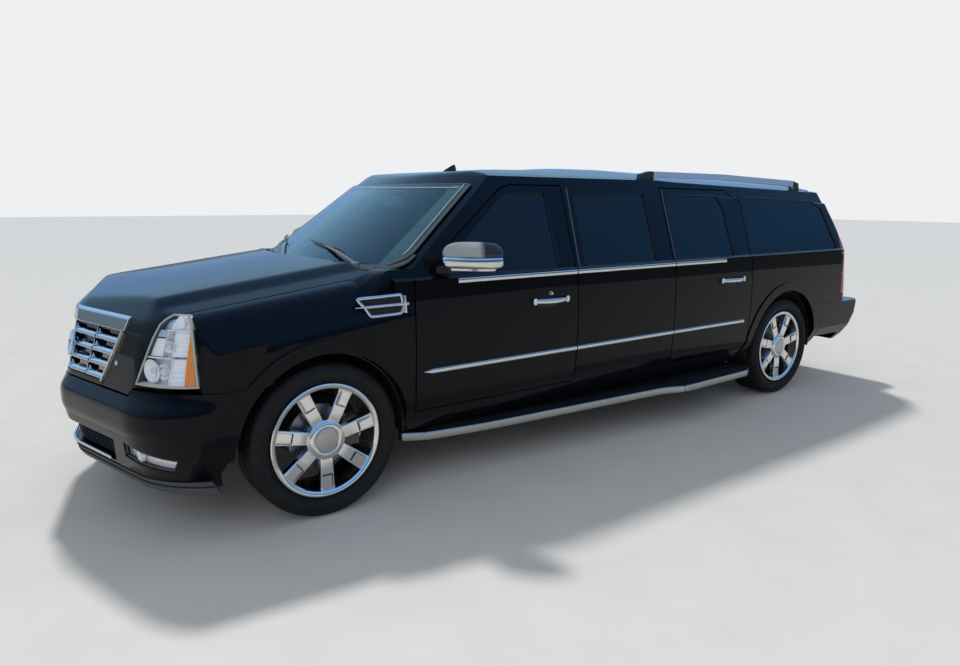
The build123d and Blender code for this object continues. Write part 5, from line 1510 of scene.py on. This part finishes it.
def cowl_wing():
    """Closed wedge: its top rises smoothly from the fender's crown to the top of the pillar's foot."""
    u = np.linspace(0, 1, 26)[:, None]
    v = np.linspace(0, 1, 24)[None, :]
    y = 0.827 + (0.970 - 0.008 * u - 0.827) * v
    x = 1.985 - 0.190 * u
    low = np.interp(y, *np.transpose(FENDER_CROWN)) - front_fall(x)
    high = np.minimum(1.252, GLASS_FOOT[1] + (GLASS_FOOT[0] - y) / GLASS_LEAN)
    top = low + (high - low) * smooth_rise(u) + 0.0008
    return closed_shell(spots(x, y, top), spots(x, y, low - 0.012))


pair("cowl_wing", Form(cowl_wing()), PAINT, "root", 50)


def wiper(pivot_y, heel, toe):
    """Arm from a round pivot, over a knee, to a blade that lies on the glass; heel and toe are (y, z)."""
    pivot = screen_point(pivot_y, 1.236, 0.030)
    knee = screen_point(pivot_y - 0.15, 1.268, 0.052)
    heel, toe = (screen_point(*place, 0.034) for place in (heel, toe))
    arm_line = smooth_loop([pivot, knee, 0.5 * (heel + toe)], 10, closed=False)
    arm = Form(rod(arm_line, 0.024, 0.014, 0.7, 12, scale=np.linspace(1.3, 0.65, len(arm_line))))
    cap = [(-0.030, 0.0), (-0.030, 0.024), (0.006, 0.022), (0.012, 0.014), (0.013, 0.0)]
    arm.add(*lathe(cap, pivot, 2, 32))
    _, y, z = np.linspace(heel, toe, 15).T
    taper = 1.0 - 0.45 * np.abs(np.linspace(-1, 1, 15)) ** 3
    arm.add(*screen_rod(y, z - 0.022, 0.028, 0.009, 0.018, 0.8, 10, scale=taper))
    return arm


for label, *places in (
    ("near", 0.650, (0.450, 1.296), (0.020, 1.332)), ("far", -0.130, (-0.320, 1.296), (-0.770, 1.322)),
):
    piece(f"wiper_{label}", wiper(*places), WIPER_GREY, "root", 40)

# Slatted cowl under the glass
slats = Form()
for y in np.linspace(-0.64, 0.64, 33):
    x = screen_point(y, 1.25)[0] + 0.030
    slats.add(*brick((x - 0.018, y - 0.012, 1.222), (x + 0.012, y + 0.012, 1.2295)))
piece("cowl_slats", slats, BLACK, "root", 30, bevel=0.002)

# Roof: the short aerial
station = np.linspace(0, 1, 14)
height = np.interp(station, [0, 0.15, 0.7, 0.9, 1.0], [0.0, 0.012, 0.046, 0.052, 0.010])
ridge = spots(0.845 - 0.115 * station, 0, AERIAL_FOOT + height)
left = spots(ridge[:, 0], 0.015 * (1 - (2 * station - 1) ** 4), AERIAL_FOOT - 0.006)
right = left * (1, -1, 1)
fin = np.stack([left, 0.35 * left + 0.65 * ridge, ridge, 0.35 * right + 0.65 * ridge, right], axis=1)
piece("aerial_fin", Form(capped(fin)), BLACK, "root", 50, bevel=0.002)

# Running boards: satin edge and rubber treads
BOARD_EDGE = [
    (1.672, 0.820), (1.560, 0.885), (1.240, 0.932), (1.060, 0.948), (-0.360, 1.030), (-0.520, 1.090),
    (-1.340, 1.062), (-1.425, 1.000),
]


def board_line(reach=0.075, step=12):
    """Running board's outer edge in plan: straight runs joined by parabolas at the corners."""
    corners = np.asarray(BOARD_EDGE)
    share = np.linspace(0, 1, step)[:, None]
    runs = [corners[:1]]
    for before, here, after in zip(corners[:-2], corners[1:-1], corners[2:]):
        start, stop = (
            here + (end - here) * min(0.45, reach / np.linalg.norm(end - here)) for end in (before, after)
        )
        runs.append(start * (1 - share) ** 2 + here * 2 * share * (1 - share) + stop * share**2)
    return np.vstack(runs + [corners[-1:]]).T


x, y = board_line()
pair("board_edge", Form(rod(spots(x, y, 0.2805), 0.014, 0.047, 0.45, 16)), BOARD_METAL, "root", 40)
keep = (x < 1.50) & (x > -1.33)
treads = Form()
for inset in (0.022, 0.036, 0.050, 0.064, 0.078, 0.092):
    treads.add(*rod(spots(x[keep], y[keep] - inset, 0.3045), 0.007, 0.005, 0.8, 8))
pair("board_treads", treads, RUBBER, "root", 50)


# Wheel arch liners and brake calipers

CALIPER_SECTION = [
    (0.118, 0.806), (0.184, 0.806), (0.190, 0.826), (0.190, 0.886), (0.180, 0.900), (0.126, 0.900),
    (0.126, 0.872), (0.178, 0.872), (0.178, 0.838), (0.118, 0.838),
]


def around(x, reach, y, turn):
    """Points round an axle at x: a reach from it, a place y and an angle from forwards to up."""
    return spots(x + reach * np.cos(turn), y, WHEEL_Z + reach * np.sin(turn))


for end, reach, carrier in (("front", 0.456, "knuckle"), ("rear", 0.474, "root")):
    x = AXLES[end]
    turn = np.linspace(-0.10, math.pi + 0.10, 49)[:, None]
    outer, inner = (around(x, radius, [0.668, 0.80, 0.948], turn) for radius in (reach, reach - 0.006))
    pair(f"arch_liner_{end}", Form(closed_shell(outer, inner)), BLACK, "root", 40)
    radius, place = np.transpose(CALIPER_SECTION)
    rows = around(x, radius, place, math.pi - np.linspace(-0.45, 0.45, 11)[:, None])
    pair(f"caliper_{end}", Form(capped(rows)), CAST, carrier, 30, bevel=0.003)


# Door mirrors: bright foot, satin cap with a painted glare, dark mirror in its rear face

MIRROR_PLAN = [
    (1.392, 1.012), (1.330, 1.040), (1.292, 1.120), (1.266, 1.205), (1.288, 1.234), (1.352, 1.226),
    (1.435, 1.172), (1.500, 1.092), (1.527, 1.020),
]
MIRROR_MIDDLE = np.array([1.392, 1.118])


def mirror_levels(*levels):
    """Closed solid over the mirror's rounded plan: each level is (height, inset, shift in x)."""
    ray = smooth_loop(MIRROR_PLAN, 8) - MIRROR_MIDDLE
    reach = np.maximum(np.linalg.norm(ray, axis=1)[:, None], 0.05)
    rows = []
    for z, inset, shift in levels:
        x, y = (MIRROR_MIDDLE + ray * (1 - inset / reach).clip(0.0, 1.0)).T
        rows.append(spots(x + shift, y, z))
    return Form(capped(rows))


foot = mirror_levels(
    (1.237, 0.052, 0), (1.240, 0.040, 0), (1.252, 0.034, 0), (1.256, 0.012, 0), (1.262, 0.004, 0),
    (1.272, 0.001, 0), (1.300, 0.001, 0), (1.307, 0.003, 0), (1.311, 0.008, 0),
)
cap = mirror_levels(
    (1.3125, 0.010, 0), (1.318, 0.004, 0), (1.330, 0.002, 0), (1.345, 0.004, 0), (1.357, 0.010, -0.001),
    (1.368, 0.019, -0.002), (1.377, 0.031, -0.003), (1.384, 0.047, -0.004), (1.389, 0.068, -0.005),
    (1.3915, 0.094, -0.006),
)
joint = mirror_levels((1.3105, 0.011, 0), (1.3128, 0.011, 0))
arm_line = [(1.536, 0.962, 1.212), (1.440, 0.962, 1.212), (1.420, 1.052, 1.222), (1.500, 1.052, 1.222)]
arm = Form(slab(arm_line, (0, 0, 0.046)))
pair("mirror_arm", arm, BLACK, "front_door", 50, bevel=0.012, segments=4)
pair("mirror_foot", foot, CHROME, "front_door", 40, replaces="mirror")
pair("mirror_cap", cap, MIRROR_CAP, "front_door", 50)
pair("mirror_joint", joint, SEAL, "front_door", 50)
low, high = np.array([(1.296, 1.062), (1.270, 1.196)])
run = (high - low) / np.linalg.norm(high - low)
away = np.array([-run[1], run[0]]) * 0.006
low, high = low + run * 0.010 + away, high - run * 0.006 + away
pane_line = [
    (*low, 1.322), (*high, 1.322), (*(high + (0.004, -0.010)), 1.372), (*(low + (0.004, 0.006)), 1.372),
]
pane = Form(slab(pane_line, (*-away, 0.0)))
pair("mirror_pane", pane, MIRROR_GLASS, "front_door", 30, bevel=0.001)


# Rear details

TAIL_LEVELS = [(0.300, -2.960), (0.640, -2.990), (0.830, -2.988), (1.190, -2.930), (1.900, -2.566)]


def tail_x(z):
    """Rearmost reach of the tail at a height."""
    return np.interp(z, *np.transpose(TAIL_LEVELS))


def tail_point(y, z, out=0.0):
    """Point of the rear face at (y, z): the level's reach and a slight bow, moved backwards."""
    return spots(tail_x(z) + 0.050 * (np.asarray(y, float) / HALF_WIDTH) ** 2 - out, y, z)


def tail_plate(half, low, high, out, thick, rows=8, cols=30):
    """Closed plate on the rear face between two heights, as wide as half on each side."""
    y = np.linspace(-half, half, cols)[None, :]
    z = np.linspace(low, high, rows)[:, None]
    return Form(closed_shell(tail_point(y, z, out), tail_point(y, z, out - thick)))


grip = Form(rod(tail_point(np.linspace(-0.300, 0.300, 31), 1.040, 0.012), 0.026, 0.046, 0.55, 16))
piece("gate_grip", grip, CHROME, "liftgate", 40)
recess = tail_plate(0.270, 0.812, 0.985, 0.0025, 0.006)
piece("plate_recess", recess, BLACK, "liftgate", 40, bevel=0.002)
plate = tail_plate(0.155, 0.822, 0.975, 0.009, 0.004)
piece("blank_plate", plate, PLATE_WHITE, "liftgate", 40, bevel=0.0015)
across, up = np.linspace(-0.158, 0.158, 14), np.linspace(0.835, 0.962, 6)
loop_y = np.concatenate([across, np.full(6, 0.158), across[::-1], np.full(6, -0.158)])
loop_z = np.concatenate([np.full(14, 0.819), up, np.full(14, 0.978), up[::-1]])
holder = Form(rod(tail_point(loop_y, loop_z, 0.008), 0.008, 0.008, 0.7, 10, up=(1, 0, 0), closed=True))
piece("plate_holder", holder, CHROME, "liftgate", 40)
pivot = tail_point(0.0, 1.205, 0.022)
knee, toe = tail_point(-0.10, 1.24, 0.030), tail_point(-0.36, 1.285, 0.020)
arm_line = smooth_loop([pivot, knee, toe], 8, closed=False)
gate_arm = Form(
    rod(arm_line, 0.018, 0.011, 0.7, 12, up=(1, 0, 0), scale=np.linspace(1.2, 0.6, 17)),
    lathe([(0.024, 0.0), (0.024, 0.028), (-0.010, 0.024), (-0.016, 0.0)], pivot, 0, 32),
)
y = np.linspace(-0.56, -0.16, 15)
blade_line = tail_point(y, 1.272 + 0.04 * np.abs(y + 0.16), 0.012)
gate_arm.add(*rod(blade_line, 0.012, 0.012, 0.8, 10, up=(1, 0, 0)))
piece("gate_wiper", gate_arm, BLACK, "liftgate", 40)
brake_bar = tail_plate(0.22, 1.652, 1.672, 0.010, 0.016)
piece("high_brake_lamp", brake_bar, RED, "liftgate", 40, bevel=0.003)

# Ribs on the step of the rear bumper
pad_ribs = Form()
y = np.linspace(-0.60, 0.60, 31)
for x in -3.228 + np.linspace(0.030, 0.150, 7):
    pad_ribs.add(*rod(spots(x + 0.045 * (y / HALF_WIDTH) ** 2, y, 0.7225), 0.009, 0.006, 0.7, 8))
piece("step_pad_ribs", pad_ribs, BLACK, "root", 40)

# Bright bars round the tall tail lamps
bars = Form()
turn = np.linspace(0.05, 1.50, 14)
for z in (0.985, 1.165):
    x = tail_x(z) + 0.182 - 0.1335 * np.sin(turn)
    bars.add(*rod(spots(x, 0.866 + 0.1335 * np.cos(turn), z), 0.006, 0.010, 0.7, 10))
pair("tail_lamp_bars", bars, CHROME, "root", 40)


# Cabin

COLUMN = np.array([-0.946, 0.0, 0.324])
HUB_PLACE = np.array([1.345, 0.400, 1.010])
SPREAD = np.array([0.0, 1.0, 0.0])
RISE = np.cross(COLUMN, SPREAD)
turn = circle(64)[:, None]
ring = HUB_PLACE + 0.180 * (np.cos(turn) * RISE / np.linalg.norm(RISE) - np.sin(turn) * SPREAD)
rim = Form(rod(ring, 0.034, 0.035, 1.0, 16, up=COLUMN, closed=True))
piece("steering_rim", rim, LEATHER, "root", 60)
spokes = Form()
share = np.linspace(0.05, 0.97, 8)[:, None]
for turn in (0.0, 2.25, -2.25):
    ray = math.sin(turn) * SPREAD - math.cos(turn) * RISE
    path = HUB_PLACE + ray * 0.180 * share + COLUMN * 0.010 * (1 - share)
    spokes.add(*rod(path, 0.040, 0.014, 0.6, 14, up=COLUMN, scale=np.linspace(1.35, 0.75, 8)))
piece("steering_spokes", spokes, GREY_TRIM, "root", 40)
levels = [(-0.030, 0.0), (-0.030, 0.050), (0.010, 0.062), (0.024, 0.056), (0.032, 0.040), (0.034, 0.0)]
hub_points, hub_faces = lathe(levels, (0, 0, 0), 0, 40)
hub = Form((hub_points @ np.array([COLUMN, SPREAD, RISE]) + HUB_PLACE, hub_faces))
piece("steering_hub", hub, CABIN, "root", 40)

# Instrument hood, dials, vents and centre stack of the dashboard
y = np.linspace(0.20, 0.60, 15)
hump = 1.132 + 0.030 * np.maximum(np.sin(math.pi * (y - 0.20) / 0.40), 0) ** 0.6
visor = Form(rod(spots(1.545, y, hump), 0.130, 0.020, 0.6, 14))
piece("dial_visor", visor, CABIN, "root", 50)
dials = Form()
for y, radius in ((0.335, 0.046), (0.465, 0.046), (0.400, 0.022)):
    levels = [(1.478, 0.0), (1.478, radius), (1.470, radius + 0.004), (1.468, radius + 0.001)]
    levels += [(1.474, radius - 0.004), (1.474, 0.0)]
    dials.add(*lathe(levels, (0, y, 1.085), 0, 40))
piece("dial_rings", dials, SILVER, "root", 40)
stack = Form()
for z in np.linspace(0.870, 1.060, 9):
    stack.add(*rod(spots(1.452 + (z - 0.98) * 0.30, np.linspace(-0.120, 0.120, 9), z), 0.014, 0.010, 0.6, 10))
for y in (-0.640, -0.180, 0.180, 0.700):
    for z in np.linspace(1.020, 1.070, 5):
        stack.add(*rod(spots(1.478, np.linspace(y - 0.050, y + 0.050, 5), z), 0.016, 0.005, 0.7, 8))
piece("dash_slats", stack, GREY_TRIM, "root", 40)

# Inner mirror below the windshield's header
y = np.linspace(-0.125, 0.125, 15)
inner_mirror = Form(
    rod(spots(1.236, y, 1.592 + 0.006 * np.cos(y * 12)), 0.020, 0.062, 0.6, 16),
    rod([(1.262, 0, 1.598), (1.290, 0, 1.640), (1.318, 0, 1.668)], 0.016, 0.016, 1.0, 12),
)
piece("inner_mirror", inner_mirror, GREY_TRIM, "root", 40)

# Headliner: a pale sheet under the roof
x = np.linspace(1.150, -2.450, 28)[:, None]
y = np.linspace(-0.66, 0.66, 20)[None, :]
z = np.interp(-x, [-1.15, -0.9, -0.4, 0.0, 1.2, 2.45], [1.688, 1.716, 1.736, 1.740, 1.728, 1.672])
under = spots(x, y, z - 0.045 * (np.abs(y) / 0.66) ** 3)
headliner = Form(closed_shell(under, under + (0, 0, 0.006)))
piece("headliner", headliner, HEADCLOTH, "root", 50)


# Ground, light and camera

FLOOR_REACH = 60.0
SKY_BEHIND = [
    (0.0, (0.14, 0.17, 0.19)), (0.035, (0.13, 0.18, 0.24)), (0.085, (0.27, 0.44, 0.68)),
    (0.18, (0.24, 0.44, 0.78)), (0.30, (0.34, 0.60, 0.88)), (0.50, (0.36, 0.64, 0.96)),
    (1.0, (0.18, 0.36, 0.74)),
]
SKY_AHEAD = [
    (0.0, (0.08, 0.085, 0.07)), (0.07, (0.07, 0.08, 0.07)), (0.13, (0.06, 0.15, 0.28)),
    (0.28, (0.10, 0.34, 0.78)), (0.50, (0.14, 0.42, 0.92)), (1.0, (0.18, 0.36, 0.74)),
]


def ground():
    """A pale floor far larger than the car."""
    made = Finish("pale_floor")
    fleck = made.noise(3.0, 6.0)
    mirrored = made.node("LightPath", output="Is Glossy Ray")
    pale = made.mix(fleck, (0.58, 0.58, 0.57), (0.66, 0.66, 0.65))
    made.set(Base_Color=made.mix(mirrored * 0.5, pale, (0.36, 0.33, 0.28)), Roughness=0.9)
    mesh = bpy.data.meshes.new("floor")
    corners = [(-1, -1, 0), (1, -1, 0), (1, 1, 0), (-1, 1, 0)]
    mesh.from_pydata([(x * FLOOR_REACH, y * FLOOR_REACH, z) for x, y, z in corners], [], [(0, 1, 2, 3)])
    floor = bpy.data.objects.new("floor", mesh)
    mesh.materials.append(made.material)
    bpy.context.scene.collection.objects.link(floor)


def sky():
    """Pale surroundings; polished surfaces see a soft gradient from horizon to zenith."""
    world = bpy.data.worlds.new("studio")
    bpy.context.scene.world = world
    world.use_nodes = True
    made = Nodes(world.node_tree)
    _, across, height = made.split(made.node("TexCoord", output="Generated"))
    facing = made.node("MapRange", None, {"Value": across, "From Min": -0.1, "From Max": 0.4})
    colour = made.mix(facing, made.ramp(height, SKY_BEHIND), made.ramp(height, SKY_AHEAD))
    gradient = made.node("Background", None, {"Color": colour})
    plain = made.node("Background", None, {"Color": (0.86, 0.87, 0.88)})
    fill = made.node("Background", None, {"Color": (0.80, 0.85, 0.92), "Strength": 0.55})
    glossy, direct, through = (
        made.node("LightPath", output=f"Is {kind} Ray") for kind in ("Glossy", "Camera", "Transmission")
    )
    mirrored = made.node("MixShader", None, {0: glossy, 1: fill, 2: gradient})
    seen = made.node("MixShader", None, {0: direct.at_least(through), 1: mirrored, 2: plain})
    output = made.tree.nodes.new("ShaderNodeOutputWorld")
    made.feed(output.inputs[0], seen)


def aimed(made, place, across, above, ahead):
    """Puts a lamp or a camera at a place, looking ahead, and links it."""
    turn = Matrix([(across[k], above[k], -ahead[k]) for k in range(3)]).to_4x4()
    made.matrix_world = Matrix.Translation(place) @ turn
    bpy.context.scene.collection.objects.link(made)


def lamp(name, kind, place, target, **settings):
    """One lamp aimed at a point, not shown in polished surfaces."""
    data = bpy.data.lights.new(name, kind)
    for key, value in settings.items():
        setattr(data, key, value)
    made = bpy.data.objects.new(name, data)
    made.visible_glossy = False
    ahead = np.asarray(target, float) - np.asarray(place, float)
    ahead /= np.linalg.norm(ahead)
    across = np.cross(ahead, (0, 0, 1))
    across /= np.linalg.norm(across)
    aimed(made, place, across, np.cross(across, ahead), ahead)


def camera():
    """The photograph's place and direction: yaw, pitch and roll in radians."""
    yaw, pitch, roll = -2.2098, -0.1864, 0.0069
    ahead = np.array([math.cos(pitch) * math.cos(yaw), math.cos(pitch) * math.sin(yaw), math.sin(pitch)])
    level = np.array([math.sin(yaw), -math.cos(yaw), 0.0])
    upright = np.cross(level, ahead)
    across = math.cos(roll) * level + math.sin(roll) * upright
    above = -math.sin(roll) * level + math.cos(roll) * upright
    data = bpy.data.cameras.new("camera")
    data.lens = 26.66
    data.sensor_width = 36.0
    data.clip_end = 300.0
    made = bpy.data.objects.new("camera", data)
    aimed(made, (3.6276, 4.1899, 1.6193), across, above, ahead)
    bpy.context.scene.camera = made


ground()
sky()
camera()
lamp("key", "SUN", (-2.0, -6.0, 9.0), (0, 0, 0), energy=2.6, angle=0.09, color=(1.0, 0.96, 0.90))
lamp("front_fill", "AREA", (8.0, 7.0, 5.0), (0.5, 0, 0.6), energy=160.0, size=6.0)
bpy.context.scene.view_settings.view_transform = "Standard"
